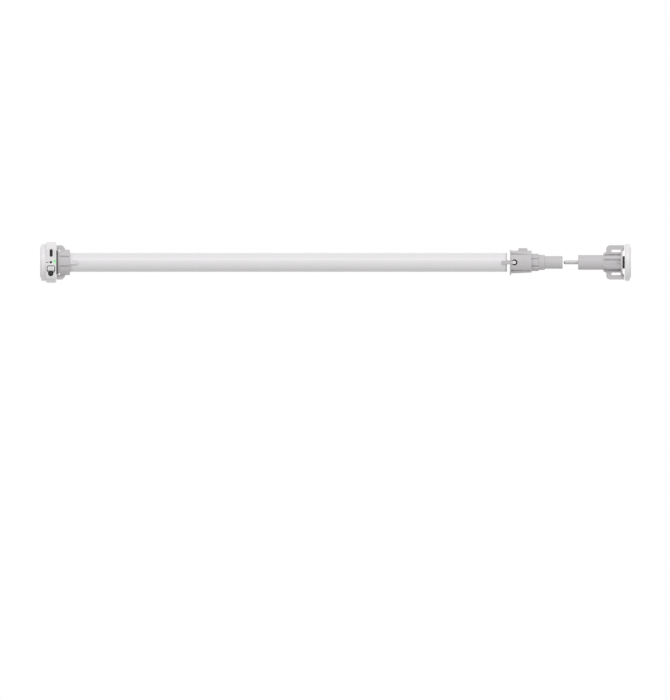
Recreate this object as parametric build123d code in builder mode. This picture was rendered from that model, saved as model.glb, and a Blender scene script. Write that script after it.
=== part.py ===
from build123d import *
import math
import os

# Battery motor kit for a 25 mm motor tube: motor, drive wheel and idler end, all on one axis
# The axis is X, from the head's end plate at x = 0 to the idler's end plate
# Z is up, and the head's controls face the user at -Y
# Sizes are in millimetres, and a name ending in _x is a station along the axis

# End plates, alike at both ends
plate_radius = 24.4
plate_thickness = 8.0
pad_radius = 20.0
pad_height = 1.3
bracket_bore_radius = 5.0
bracket_bolt_radius = 1.65
bracket_bolt_circle = 30.0
bracket_depth = 5.0
bracket_bolts = 4
plate_edge = 0.9
idler_plate_edge = 1.5

# Head, a box of eight sides with rounded corners and a slight bevel along both rims
head_x = plate_thickness
head_end_x = 21.2
head_half = 26.8
head_flat = 18.5
head_corner = 4.0
bevel_length = 1.9
bevel_drop = 0.7
wall = 2.5
screw_circle = 32.0
screw_count = 3
spigot_screw_circle = 22.0
post_radius = 3.0
screw_radius = 1.25
screw_head_radius = 2.5
screw_clearance = 0.15
screw_point_radius = 0.3
plate_screw_length = 14.0
spigot_screw_depth = 8.5
spigot_screw_head_radius = 2.2
spigot_screw_head = 1.8
thread_gap = 0.02
pilot_gap = 0.05

# Controls on the head's front
port_x = 14.6
port_z = 12.4
port_width = 4.0
port_length = 10.1
dish_width = 8.6
dish_length = 14.0
dish_depth = 0.6
port_set_back = 1.3
shell_length = 8.94
shell_width = 3.26
shell_wall = 0.3
shell_depth = 7.3
shell_floor = 0.5
contact_length = 6.7
contact_thickness = 0.7
contact_depth = 6.0
button_x = 14.1
button_z = 0.2
button_hole_radius = 1.6
button_radius = 1.5
button_travel = 0.8
button_set_back = 1.0
button_length = 5.7
button_collar = 0.7
button_collar_thickness = 0.8
switch_width = 4.0
switch_height = 3.8
switch_depth = 3.2
switch_gap = 0.2
lens_x = 19.0
lens_z = 0.6
lens_width = 2.4
lens_length = 5.4
lens_depth = 4.6
lens_proud = 0.05
lens_gap = 0.03
lever_x = 14.3
lever_width = 9.2
lever_top = -4.9
lever_height = 5.8
lever_travel = 2.5
lever_gap = 0.9
lever_end_gap = 0.4
lever_corner = 1.8
lever_edge = 0.35
lever_set_back = 0.3
lever_thickness = 2.2
lever_recess = 3.2
grip_width = 4.4
grip_groove = 0.5
grip_pitch = 1.6
web_width = 3.2
web_slot = 3.8
web_reach = 1.6
foot_width = 5.0
foot_depth = 4.6
foot_height = 2.3
socket_x = 14.0
socket_z = -14.6
socket_radius = 3.6
socket_depth = 7.3
pocket_x = 14.4
pocket_width = 12.4
pocket_wall = 1.5
pocket_low = -20.6
shelf_width = 7.0
shelf_depth = 5.4
shelf_thickness = 1.0
eye_set_back = 4.9
eye_drop = 2.9
eye_radius = 1.7
eye_hole_radius = 0.75
eye_thickness = 1.4
eye_stem = 2.0
lever_spring_radius = 1.3
lever_spring_wire = 0.4
lever_spring_turns = 4
microswitch_width = 5.8
microswitch_depth = 3.0
microswitch_height = 6.0
plunger_radius = 0.8
plunger_height = 0.4

# Spigot, crown and motor tube
neck_end_x = 23.8
neck_radius = 15.8
journal_radius = 13.4
running_gap = 0.1
boss_radius = 7.0
boss_gap = 0.1
pilot_depth = 9.0
tube_x = 36.0
tube_radius = 12.5
tube_wall = 1.0
tube_end_x = 614.4
plug_gap = 0.02
plug_depth = 14.0
lead_bore_radius = 5.0
crown_radius = 16.8
crown_flange_radius = 17.6
crown_flange_end_x = 25.8
crown_end_x = 39.3
crown_edge = 1.2
crown_counterbore = 14.2
crown_end_gap = 0.2
crown_clip_thickness = 0.8
crown_notches = (((14.25, 8.9), (13.0, 6.8)), ((15.6, -6.25), (14.0, -4.3)))
notch_end_x = 38.0
notch_reach = 4.0
lobe_x = 21.6
lobe_corner_x = 28.4
lobe_end_x = 32.8
lobe_shoulder = 18.2
lobe_arc = 10.0
lobe_gap = 0.4
lobe_root = 1.0
fin_radius = 22.6
fin_thickness = 7.0
slit_x = 25.4
slit_z = 15.5
slit_width = 1.6
slit_height = 2.2
tongue_width = 5.2
tongue_inner = 13.1
tongue_outer = 15.0
tongue_droop = 0.4
tongue_tip_x = 50.5
tongue_root = 0.8

# Battery and control board
cell_radius = 9.2
cell_length = 65.2
cell_pitch = 66.0
cell_count = 4
cells_x = 52.0
cell_gap = 0.2
cradle_gap = 0.3
cradle_stop = 1.0
board_x = 325.0
board_length = 107.0
board_width = 19.0
board_thickness = 1.2
board_gap = 0.1
radio_x = 24.0
radio_size = (18.0, 13.0, 2.6)
radio_corner = 0.8
chip_x = 46.0
chip_size = (7.0, 7.0, 2.0)
coil_x = 58.0
coil_size = (6.0, 6.0, 3.0)
capacitors = ((74.0, -4.0), (82.0, 4.0))
capacitor_radius = 3.1
capacitor_height = 5.4
socket_block_x = 96.0
socket_block_size = (8.0, 12.0, 3.2)
guide_set_out = 2.0
guide_length = 4.0
guide_slot = (8.0, 3.0)
guide_slot_z = 6.5
port_board_thickness = 1.2
port_board_size = (29.0, 38.0)
port_board_y = 3.5
port_board_arm_size = (12.0, 21.2)
port_board_arm = (-16.0, 8.4)
port_board_cut_size = (10.0, 20.0)
port_board_cut = (-9.0, -12.0)
post_notch = 6.6
screw_notch = 5.2

# Motor and brake
hall_x = 441.0
hall_thickness = 1.2
sensor_size = (3.0, 2.4)
sensor_z = 5.0
sensor_height = 0.9
magnet_x = 443.6
magnet_length = 4.4
magnet_radius = 3.6
motor_x = 457.0
motor_length = 48.0
motor_radius = 10.9
can_wall = 0.8
can_edge = 1.0
can_floor = 2.0
bell_length = 4.0
bell_nose = 2.0
bell_nose_radius = 3.5
motor_magnet_x = 465.0
motor_magnet_length = 34.0
motor_magnet_gap = 5.0
magnet_clearance = 0.5
rotor_radius = 7.5
rotor_core_x = 467.0
rotor_core_length = 30.0
poles = 5
winding_size = (3.6, 2.6)
winding_radius = 4.7
pole_slot = 1.0
pole_slot_depth = 2.0
commutator_x = 459.0
commutator_length = 5.0
commutator_radius = 3.0
shaft_radius = 1.15
shaft_gap = 0.05
brake_x = 505.0
brake_length = 17.0
brake_wall = 1.0
brake_cup = 6.0
brake_floor = 8.0
brake_coil_radius = 8.6
brake_shaft_gap = 0.3
brake_disc_radius = 8.0
brake_disc_set_in = 4.0
brake_disc_thickness = 1.8

# Planetary gears, three stages of one size in one barrel
gear_module = 0.45
pressure_angle = 25.0
sun_teeth = 12
planet_teeth = 15
ring_teeth = sun_teeth + 2 * planet_teeth
planets = 3
addendum = 0.9 * gear_module
dedendum = 1.1 * gear_module
tooth_thinning = 0.055
carrier_radius = 8.7
planet_bore = 1.25
planet_pin = 1.2
barrel_x = 523.0
barrel_end_x = 577.0
barrel_radius = 11.4
barrel_floor = 3.0
barrel_hole_radius = 2.6
pin_set_in = 0.2
stage_x = (530.0, 540.5, 553.5)
face_width = (5.0, 6.5, 8.5)
plate_x = (536.0, 548.0, 563.0)
plate_width = (2.5, 3.0, 5.0)

# Output shaft, adapter and drive wheel
output_radius = 2.6
output_flat = 2.1
bush_radius = 5.5
bush_length = 6.0
bush_gap = 0.05
cap_bore_gap = 0.6
cap_edge = 0.3
cap_flange_x = 612.7
cap_x = 579.0
adapter_x = 620.4
adapter_end_x = 640.8
adapter_radius = 11.05
adapter_gap = 0.05
key_height = 1.3
key_width = 3.0
key_start = 30
keys = 4
nub_pocket = (3.4, 3.0, 3.2)
wheel_x = 618.2
wheel_flange_end_x = 619.7
wheel_flange_radius = 16.8
wheel_end_x = 646.8
wheel_radius = 15.5
wheel_band_x = 645.0
wheel_low = 14.5
wheel_end_low = 13.3
wheel_notches = ((((9.4, 12.3), (8.2, 10.2)), ((11.4, 10.5), (11.2, 10.2))),
                 (((8.9, -12.7), (7.6, -9.7)), ((10.1, -11.7), (9.6, -10.2))))
lug_x = 629.3
lug_length = 12.0
lug_radius = 18.8
lug_width = 6.0
lug_root = 2.0
lug_edge = 0.5
collet_end_x = 656.1
collet_radius = 11.5
collet_edge = 0.4
collet_notches = (((10.0, 5.6), (9.0, 4.1)), ((9.0, -7.2), (8.0, -4.2)))
latch_x = 653.9
latch_angles = (62, 118, 242, 298)
latch_radius = 0.7
latch_depth = 1.8
shank_radius = 8.05
shank_gap = 0.02

# Release clip in the drive wheel
clip_x = 624.3
clip_hole_radius = 3.9
clip_hole_depth = 9.2
clip_slot_gap = 0.8
clip_slot_depth = 6.2
clip_button_radius = 2.1
clip_button_height = 2.6
clip_button_proud = 0.1
clip_arm_width = 4.2
clip_tongue_width = 3.6
clip_neck_x = 613.6
clip_shoulder_x = 617.4
clip_tip_x = 606.7
clip_pivot_x = 620.0
clip_pivot_radius = 14.4
clip_pin_radius = 0.7
clip_pin_gap = 0.08
clip_pin_reach = 1.4
clip_outer = 15.4
clip_inner = 13.8
nub_radius = 1.1
nub_length = 2.7
nub_set_in = 2.0

# Nose with its socket for the idler pin
nose_x = 641.2
collar_end_x = 664.3
collar_radius = 10.0
collar_edge = 0.9
nose_end_x = 687.6
nose_radius = 8.35
nose_edge = 0.4
nose_bore_depth = 21.6
nose_lead_in = 0.8

# Idler end
pin_radius = 2.55
pin_gap = 0.1
pin_tip_x = 689.3
pin_bevel = 1.2
pin_tail_radius = 2.35
sleeve_x = 708.0
sleeve_end_x = 740.7
sleeve_radius = 9.7
sleeve_bore = 7.0
sleeve_wall_x = 711.5
sleeve_floor = 3.0
sleeve_edge = 0.4
sleeve_screw_radius = 1.5
sleeve_screw_gap = 0.1
sleeve_screw_head_radius = 2.8
sleeve_screw_head = 2.0
pin_collar_x = 712.0
pin_collar_radius = 6.6
pin_collar_length = 2.5
pin_tail_x = 727.0
idler_spring_radius = 4.4
idler_spring_wire = 0.9
idler_spring_turns = 5
web_thickness = 4.0
idler_core_radius = 9.8
idler_ribs = 6
idler_rib_start = 30
idler_rib_x = 741.0
idler_rib_radius = 13.3
idler_rib_width = 3.9
idler_rib_round = 2.4
idler_bore = 5.6
idler_spindle = 5.5
spindle_lead_in = 0.6
spindle_gap = 0.4
idler_flange_x = 764.3
idler_flange_end_x = 766.6
idler_flange_radius = 17.8
idler_gap = 0.1
fin_x = 745.0
fin_end_x = 768.7
fin_shoulder = 17.4
fin_root = 1.0
window_x = 752.0
window_end_x = 764.0
window_z = 15.0
window_height = 3.2
bleed_x = 744.0
bleed_z = 8.9
bleed_radius = 0.8
bleed_floor = 1.5
snap_x = 761.0
snap_z = 0.3
snap_size = (4.6, 3.6)
snap_corner = 1.2
snap_groove = 0.6
snap_depth = 0.8
idler_plate_x = 769.4
length = 777.5
hub_radius = 8.2

os.makedirs("parts", exist_ok=True)


def turned(points):
    """Closed outline of stations and radii, ready to be turned about the motor's axis."""
    with BuildSketch(Plane.XZ) as outline:
        with BuildLine():
            Polyline(*points, close=True)
        make_face()
    return outline.sketch


def rims(shape, radius):
    """Full circles of one radius on a shape."""
    circles = shape.edges().filter_by(GeomType.CIRCLE)
    return circles.filter_by(lambda edge: abs(edge.radius - radius) < 0.01)


def across(station):
    """Plane square to the axis, at a station."""
    return Plane.YZ.offset(station)


def front(depth):
    """Plane that faces the user, at a distance in front of the axis."""
    return Plane.XZ.offset(depth)


def notch(corners, side):
    """Saw-tooth notch from its outer edge to its root, at the front or, for side -1, half a turn on."""
    edge, root = corners
    outside = edge[0] + notch_reach
    with BuildSketch() as outline:
        with BuildLine():
            Polyline((-side * edge[0], side * edge[1]), (-side * root[0], side * root[1]),
                     (-side * outside, side * root[1]), (-side * outside, side * edge[1]), close=True)
        make_face()
    return outline.sketch


def save(piece, label):
    """Name a finished piece and write it."""
    piece.part.label = label
    export_step(piece.part, "parts/" + label + ".step")
    return piece.part


# End plate of the head, with the bracket's bore and tapped holes in its raised pad
outer_face = Plane(origin=(0, 0, 0), x_dir=(0, 1, 0), z_dir=(-1, 0, 0))
with BuildPart() as end_plate:
    revolve(turned([(0, 0), (0, pad_radius), (pad_height, pad_radius), (pad_height, plate_radius),
                    (plate_thickness, plate_radius), (plate_thickness, 0)]), axis=Axis.X)
    chamfer(rims(end_plate, plate_radius).sort_by(Axis.X)[0:1], plate_edge)
    with Locations(outer_face):
        Hole(bracket_bore_radius, depth=bracket_depth)
        with PolarLocations(bracket_bolt_circle / 2, bracket_bolts, start_angle=45):
            Hole(bracket_bolt_radius, depth=bracket_depth)
        with PolarLocations(screw_circle / 2, screw_count, -90, 180, endpoint=True):
            CounterSinkHole(screw_radius + screw_clearance, screw_head_radius, depth=plate_thickness)
save(end_plate, "end_plate")

# Countersunk screws that hold the end plate to the head's posts
with BuildPart() as plate_screws:
    with Locations(outer_face):
        with PolarLocations(screw_circle / 2, screw_count, -90, 180, endpoint=True):
            with Locations((0, 0, -plate_screw_length / 2)):
                Cylinder(screw_radius, plate_screw_length)
            with Locations((0, 0, -screw_head_radius / 2)):
                Cone(screw_point_radius, screw_head_radius - screw_clearance, screw_head_radius)
save(plate_screws, "plate_screws")


def head_outline(half, flat, corner):
    """Square with cut and rounded corners, the head's shape seen from its end."""
    corners = [(half, flat), (flat, half), (-flat, half), (-half, flat),
               (-half, -flat), (-flat, -half), (flat, -half), (half, -flat)]
    with BuildSketch() as outline:
        with BuildLine():
            Polyline(*corners, close=True)
        make_face()
        if corner > 0:
            fillet(outline.vertices(), corner)
    return outline.sketch


# Head shell, open to the end plate, with every port of the front in its wall
pocket_back = head_half - socket_depth - wall
pocket_top = lever_top + lever_gap + pocket_wall
lever_low = lever_top - lever_height
recess_low = lever_low - lever_travel - lever_end_gap
shelf_top = pocket_low + shelf_thickness
with BuildPart() as head_shell:
    with BuildSketch(across(head_x)):
        add(head_outline(head_half, head_flat, head_corner))
    extrude(amount=head_end_x - head_x)
    for end in (0, -1):
        rim_face = head_shell.faces().sort_by(Axis.X)[end]
        chamfer(rim_face.edges(), bevel_drop, bevel_length, reference=rim_face)
    with BuildSketch(across(head_x)):
        add(head_outline(head_half - wall, head_flat - wall / 2, 0))
    extrude(amount=head_end_x - head_x - wall, mode=Mode.SUBTRACT)
    # Pocket for the lever and the eye, a box of plastic behind the front wall
    with BuildSketch(front(pocket_back)):
        with Locations((pocket_x, (pocket_top + pocket_low) / 2)):
            Rectangle(pocket_width, pocket_top - pocket_low)
    extrude(amount=head_half - pocket_back - wall / 2)
    with BuildSketch(across(head_x)):
        with PolarLocations(screw_circle / 2, screw_count, -90, 180, endpoint=True):
            Circle(post_radius)
    extrude(amount=head_end_x - head_x - wall / 2)
    with BuildSketch(across(head_x)):
        with PolarLocations(screw_circle / 2, screw_count, -90, 180, endpoint=True):
            Circle(screw_radius + pilot_gap)
    extrude(amount=head_end_x - head_x - wall, mode=Mode.SUBTRACT)
    # Charging port, with a shallow finger recess round it
    with BuildSketch(front(head_half)):
        with Locations((port_x, port_z)):
            SlotOverall(dish_length, dish_width, rotation=90)
    extrude(amount=-dish_depth, mode=Mode.SUBTRACT)
    with BuildSketch(front(head_half)):
        with Locations((port_x, port_z)):
            SlotOverall(port_length, port_width, rotation=90)
        with Locations((button_x, button_z)):
            Circle(button_hole_radius)
    extrude(amount=-(wall + dish_depth), mode=Mode.SUBTRACT)
    with BuildSketch(front(head_half)):
        with Locations((lens_x, lens_z)):
            SlotOverall(lens_length, lens_width, rotation=90)
    extrude(amount=-lens_depth, mode=Mode.SUBTRACT)
    # Recess that the lever slides in, with the round socket for a hook below it
    with BuildSketch(front(head_half)):
        with Locations((lever_x, (lever_top + lever_gap + recess_low) / 2)):
            RectangleRounded(lever_width + 2 * lever_gap, lever_top + lever_gap - recess_low,
                             lever_corner + lever_gap)
    extrude(amount=-lever_recess, mode=Mode.SUBTRACT)
    with BuildSketch(front(head_half)):
        with Locations((socket_x, socket_z)):
            Circle(socket_radius)
        with Locations((socket_x, (lever_top + socket_z) / 2)):
            Rectangle(web_slot, lever_top - socket_z + lever_end_gap)
    extrude(amount=-socket_depth, mode=Mode.SUBTRACT)
    # Slot in the pocket's back for the lever's web
    with BuildSketch(front(head_half)):
        with Locations((lever_x, (lever_top + recess_low) / 2)):
            Rectangle(web_slot, lever_top - recess_low + lever_end_gap)
    extrude(amount=-(head_half - pocket_back), mode=Mode.SUBTRACT)
    # Shelf that the lever's spring stands on
    with Locations((lever_x, -(pocket_back - shelf_depth / 2), shelf_top - shelf_thickness / 2)):
        Box(shelf_width, shelf_depth, shelf_thickness)
    with BuildSketch(across(head_end_x - wall)):
        Circle(boss_radius + boss_gap)
        with PolarLocations(spigot_screw_circle / 2, screw_count, start_angle=60):
            Circle(screw_radius + screw_clearance)
    extrude(amount=wall, mode=Mode.SUBTRACT)
save(head_shell, "head_shell")

# Pull lever: finger plate with a grooved grip, web through the back wall, spring foot and eye
web_back = pocket_back - web_reach
web_front = head_half - lever_set_back - lever_thickness / 2
lever_middle = lever_top - lever_height / 2
foot_y = -(web_back - foot_depth / 2 + web_reach / 2)
with BuildPart() as pull_lever:
    with BuildSketch(front(head_half - lever_set_back)):
        with Locations((lever_x, lever_middle)):
            RectangleRounded(lever_width, lever_height, lever_corner)
    extrude(amount=-lever_thickness)
    chamfer(pull_lever.faces().sort_by(Axis.Y)[0].edges(), lever_edge)
    with BuildSketch(front(head_half - lever_set_back)):
        with Locations((lever_x, lever_middle)):
            with GridLocations(0, grip_pitch, 1, 3):
                Rectangle(grip_width, grip_groove)
    extrude(amount=-grip_groove, mode=Mode.SUBTRACT)
    with Locations((lever_x, -(web_front + web_back) / 2, lever_middle)):
        Box(web_width, web_front - web_back, lever_height - 2 * lever_edge)
    with Locations((lever_x, foot_y, lever_low + foot_height / 2)):
        Box(foot_width, foot_depth, foot_height)
    with BuildSketch(front(head_half - eye_set_back)):
        with Locations((socket_x, lever_low - eye_drop / 2)):
            Rectangle(eye_stem, eye_drop + eye_thickness)
        with Locations((socket_x, lever_low - eye_drop)):
            Circle(eye_radius)
            Circle(eye_hole_radius, mode=Mode.SUBTRACT)
    extrude(amount=-eye_thickness)
save(pull_lever, "pull_lever")


# Springs of square wire, with the side and the height of an end coil given in round wire diameters
wire_side = 0.8
wire_seat = 0.75


def biarc(start, leave, end, arrive):
    """Two arcs in a row that leave one point and reach the next along given directions."""
    chord = end - start
    turn = leave + arrive
    lead = chord.dot(turn)
    square = turn.dot(turn) - 4
    reach = (lead - math.sqrt(lead * lead - square * chord.dot(chord))) / square
    first = start + leave * reach
    second = end - arrive * reach
    joint = (first + second) * 0.5
    TangentArc(start, joint, tangent=leave)
    return TangentArc(joint, end, tangent=second - first)


def coil(mean_radius, wire, turns, span, plane):
    """Compression spring of square wire with straight ends, along a plane's normal."""
    halves = turns * 2
    seat = wire * wire_seat
    rise = (span - 2 * seat) / halves
    slope = rise / (mean_radius * math.pi)
    size = math.sqrt(1 + slope * slope)
    points = []
    tangents = []
    for step in range(halves + 1):
        angle = step * math.pi
        outwards = plane.x_dir * math.cos(angle) + plane.y_dir * math.sin(angle)
        onwards = plane.y_dir * math.cos(angle) - plane.x_dir * math.sin(angle)
        points.append(plane.origin + outwards * mean_radius + plane.z_dir * (seat + rise * step))
        tangents.append((onwards + plane.z_dir * slope) / size)
    with BuildPart() as spring:
        with BuildLine() as path:
            Line(points[0] - tangents[0] * wire, points[0])
            for step in range(halves):
                biarc(points[step], tangents[step], points[step + 1], tangents[step + 1])
            Line(points[-1], points[-1] + tangents[-1] * wire)
        start_plane = Plane(origin=path.line @ 0, x_dir=plane.x_dir, z_dir=path.line % 0)
        with BuildSketch(start_plane):
            Rectangle(wire * wire_side, wire * wire_side)
        sweep(path=path.line)
    gap = rise * 2 - wire
    return spring, gap


# Lever's return spring, in the head under the lever's foot
spring_plane = Plane(origin=(lever_x, foot_y, shelf_top), x_dir=(1, 0, 0), z_dir=(0, 0, 1))
lever_spring, lever_spring_gap = coil(lever_spring_radius, lever_spring_wire, lever_spring_turns,
                                      lever_low - shelf_top, spring_plane)
save(lever_spring, "lever_spring")
print("least gap in the lever's spring, mm:", round(lever_spring_gap, 2))

# Reset button, a black plunger with a collar behind the wall
with BuildPart() as reset_button:
    with BuildSketch(front(head_half - button_set_back)):
        with Locations((button_x, button_z)):
            Circle(button_radius)
    extrude(amount=-button_length)
    with BuildSketch(front(head_half - wall - running_gap)):
        with Locations((button_x, button_z)):
            Circle(button_radius + button_collar)
    extrude(amount=-button_collar_thickness)
save(reset_button, "reset_button")

# Tact switch that the button works
switch_front = head_half - button_set_back - button_length - button_travel - switch_gap
with BuildPart() as reset_switch:
    with Locations((button_x, -(switch_front - switch_depth / 2), button_z)):
        Box(switch_width, switch_depth, switch_height)
save(reset_switch, "reset_switch")

# Charging receptacle: a drawn shell closed at the back, with the contact tongue in it
port_front = head_half - port_set_back
port_floor = port_front - shell_depth
with BuildPart() as usb_port:
    with BuildSketch(front(port_front)):
        with Locations((port_x, port_z)):
            SlotOverall(shell_length, shell_width, rotation=90)
            SlotOverall(shell_length - 2 * shell_wall, shell_width - 2 * shell_wall, rotation=90,
                        mode=Mode.SUBTRACT)
    extrude(amount=-shell_depth)
    with BuildSketch(front(port_floor)):
        with Locations((port_x, port_z)):
            SlotOverall(shell_length - shell_wall, shell_width - shell_wall, rotation=90)
    extrude(amount=shell_floor)
    with Locations((port_x, -(port_floor + contact_depth / 2), port_z)):
        Box(contact_thickness, contact_depth, contact_length)
save(usb_port, "usb_port")

# Status lens, a light pipe set in the wall
with BuildPart() as status_lens:
    with BuildSketch(front(head_half + lens_proud)):
        with Locations((lens_x, lens_z)):
            SlotOverall(lens_length - 2 * lens_gap, lens_width - 2 * lens_gap, rotation=90)
    extrude(amount=-lens_depth)
save(status_lens, "status_lens")

# Board behind the ports, cut away round the lever's works
port_board_x = port_x + shell_width / 2
with BuildPart() as port_board:
    with BuildSketch(across(port_board_x)):
        with Locations((port_board_y, 0)):
            Rectangle(*port_board_size)
        with Locations(port_board_arm):
            Rectangle(*port_board_arm_size)
        with Locations(port_board_cut):
            Rectangle(*port_board_cut_size, mode=Mode.SUBTRACT)
        with PolarLocations(screw_circle / 2, screw_count, -90, 180, endpoint=True):
            Rectangle(post_notch, post_notch, mode=Mode.SUBTRACT)
        with PolarLocations(spigot_screw_circle / 2, screw_count, start_angle=60):
            Rectangle(screw_notch, screw_notch, mode=Mode.SUBTRACT)
        Rectangle(2 * lead_bore_radius, 2 * lead_bore_radius, mode=Mode.SUBTRACT)
    extrude(amount=port_board_thickness)
save(port_board, "port_board")

# Microswitch under the lever's foot
microswitch_y = foot_y + foot_depth / 2 + microswitch_depth / 2
microswitch_top = lever_low - lever_travel - plunger_height - switch_gap
with BuildPart() as lever_switch:
    with Locations((lever_x, microswitch_y, microswitch_top - microswitch_height / 2)):
        Box(microswitch_width, microswitch_depth, microswitch_height)
    with Locations((lever_x, microswitch_y, microswitch_top + plunger_height / 2)):
        Cylinder(plunger_radius, plunger_height)
save(lever_switch, "lever_switch")

# Spigot that carries the crown and plugs into the motor tube
plug_radius = tube_radius - tube_wall - plug_gap
with BuildPart() as head_spigot:
    revolve(turned([(head_end_x - wall, lead_bore_radius), (head_end_x - wall, boss_radius),
                    (head_end_x, boss_radius), (head_end_x, neck_radius),
                    (neck_end_x, neck_radius), (neck_end_x, journal_radius),
                    (tube_x, journal_radius), (tube_x, plug_radius),
                    (tube_x + plug_depth, plug_radius), (tube_x + plug_depth, lead_bore_radius)]),
            axis=Axis.X)
    with BuildSketch(across(head_end_x)):
        with PolarLocations(spigot_screw_circle / 2, screw_count, start_angle=60):
            Circle(screw_radius)
    extrude(amount=pilot_depth, mode=Mode.SUBTRACT)
save(head_spigot, "head_spigot")

# Screws from inside the head into the spigot
with BuildPart() as spigot_screws:
    with BuildSketch(across(head_end_x - wall)):
        with PolarLocations(spigot_screw_circle / 2, screw_count, start_angle=60):
            Circle(screw_radius - thread_gap)
    extrude(amount=wall + spigot_screw_depth)
    with BuildSketch(across(head_end_x - wall)):
        with PolarLocations(spigot_screw_circle / 2, screw_count, start_angle=60):
            Circle(spigot_screw_head_radius)
    extrude(amount=-spigot_screw_head)
save(spigot_screws, "spigot_screws")

# Tongue of the crown, a curved tab with a round end that lies over the tube
tongue_x = crown_end_x - tongue_root
with BuildPart() as crown_tongue:
    revolve(turned([(tongue_x, tongue_inner), (tongue_x, tongue_outer),
                    (tongue_tip_x, tongue_outer - tongue_droop), (tongue_tip_x, tongue_inner)]),
            axis=Axis.X)
    with BuildSketch(front(crown_radius)):
        with Locations((tongue_x - tongue_width / 2, 0)):
            SlotOverall(2 * (tongue_tip_x - tongue_x) + tongue_width, tongue_width)
    extrude(amount=-crown_radius / 2, mode=Mode.INTERSECT)
    split(bisect_by=across(tongue_x), keep=Keep.TOP)

# Head crown: ring with notches and two lobes, which turns on the spigot
crown_x = neck_end_x + running_gap
crown_bore = journal_radius + running_gap
step_x = tube_x + crown_end_gap
with BuildPart() as crown:
    revolve(turned([(crown_x, crown_bore), (crown_x, crown_flange_radius),
                    (crown_flange_end_x, crown_flange_radius), (crown_flange_end_x, crown_radius),
                    (crown_end_x, crown_radius), (crown_end_x, crown_counterbore),
                    (step_x, crown_counterbore), (step_x, crown_bore)]), axis=Axis.X)
    chamfer(rims(crown, crown_radius).sort_by(Axis.X)[-1:], crown_edge)
    with BuildSketch(across(crown_flange_end_x)):
        for corners in crown_notches:
            add(notch(corners, 1))
            add(notch(corners, -1))
    extrude(amount=notch_end_x - crown_flange_end_x, mode=Mode.SUBTRACT)
    for side in (1, -1):
        lobe_low = side * (neck_radius + lobe_gap)
        root = side * (crown_bore + lobe_root)
        with BuildSketch(front(fin_thickness / 2)):
            with BuildLine():
                Polyline((lobe_corner_x, side * fin_radius), (lobe_x, side * fin_radius),
                         (lobe_x, lobe_low), (crown_x, lobe_low), (crown_x, root), (lobe_end_x, root),
                         (lobe_end_x, side * lobe_shoulder))
                RadiusArc((lobe_end_x, side * lobe_shoulder), (lobe_corner_x, side * fin_radius),
                          side * -lobe_arc)
            make_face()
        extrude(amount=-fin_thickness)
    with BuildSketch(front(crown_flange_radius)):
        with Locations((slit_x, slit_z), (slit_x, -slit_z)):
            Rectangle(slit_width, slit_height)
    extrude(amount=-2 * crown_flange_radius, mode=Mode.SUBTRACT)
    add(crown_tongue.part)
save(crown, "crown")

# Ring on the tube that keeps the crown from sliding off
with BuildPart() as crown_clip:
    with BuildSketch(across(step_x + crown_end_gap)):
        Circle(crown_counterbore - crown_end_gap)
        Circle(tube_radius, mode=Mode.SUBTRACT)
    extrude(amount=crown_clip_thickness)
save(crown_clip, "crown_clip")

# Motor tube
with BuildPart() as motor_tube:
    with BuildSketch(across(tube_x)):
        Circle(tube_radius)
        Circle(tube_radius - tube_wall, mode=Mode.SUBTRACT)
    extrude(amount=cap_flange_x - tube_x)
save(motor_tube, "motor_tube")

# Battery cells, four in a row
with BuildPart() as battery_cells:
    for number in range(cell_count):
        with BuildSketch(across(cells_x + number * cell_pitch)):
            Circle(cell_radius)
        extrude(amount=cell_length)
save(battery_cells, "battery_cells")

# Straps that join the cells end to end
with BuildPart() as cell_straps:
    for number in range(cell_count - 1):
        with BuildSketch(across(cells_x + number * cell_pitch + cell_length)):
            Circle(cell_radius / 2)
        extrude(amount=cell_pitch - cell_length)
save(cell_straps, "cell_straps")

# Half-round cradle under the cells
cradle_length = cell_count * cell_pitch + cradle_stop
with BuildPart() as cell_cradle:
    with BuildSketch(across(cells_x - cradle_stop)):
        Circle(tube_radius - tube_wall - cradle_gap)
        Circle(cell_radius + cell_gap, mode=Mode.SUBTRACT)
        with Locations((0, tube_radius)):
            Rectangle(2 * tube_radius, 2 * tube_radius, mode=Mode.SUBTRACT)
    extrude(amount=cradle_length)
save(cell_cradle, "cell_cradle")

# Control board, level in the tube
board_top = board_thickness / 2
with BuildPart() as control_board:
    with Locations((board_x + board_length / 2, 0, 0)):
        Box(board_length, board_width, board_thickness)
save(control_board, "control_board")

# Can over the radio
with BuildPart() as radio_shield:
    with Locations((board_x + radio_x, 0, board_top + radio_size[2] / 2)):
        Box(*radio_size)
    fillet(radio_shield.edges().filter_by(Axis.Z), radio_corner)
save(radio_shield, "radio_shield")

# Driver chip, coil, two capacitors and the cells' socket
with BuildPart() as board_components:
    for station, size in ((chip_x, chip_size), (coil_x, coil_size), (socket_block_x, socket_block_size)):
        with Locations((board_x + station, 0, board_top + size[2] / 2)):
            Box(*size)
    for station, sideways in capacitors:
        with Locations((board_x + station, sideways, board_top + capacitor_height / 2)):
            Cylinder(capacitor_radius, capacitor_height)
save(board_components, "board_components")

# Discs at both ends of the board that centre it in the tube
with BuildPart() as board_guides:
    for station in (board_x - guide_set_out, board_x + board_length - guide_set_out):
        with BuildSketch(across(station)):
            Circle(tube_radius - tube_wall - board_gap)
            Rectangle(board_width + board_gap, board_thickness + board_gap, mode=Mode.SUBTRACT)
            with Locations((0, guide_slot_z), (0, -guide_slot_z)):
                Rectangle(*guide_slot, mode=Mode.SUBTRACT)
        extrude(amount=guide_length)
save(board_guides, "board_guides")

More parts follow.
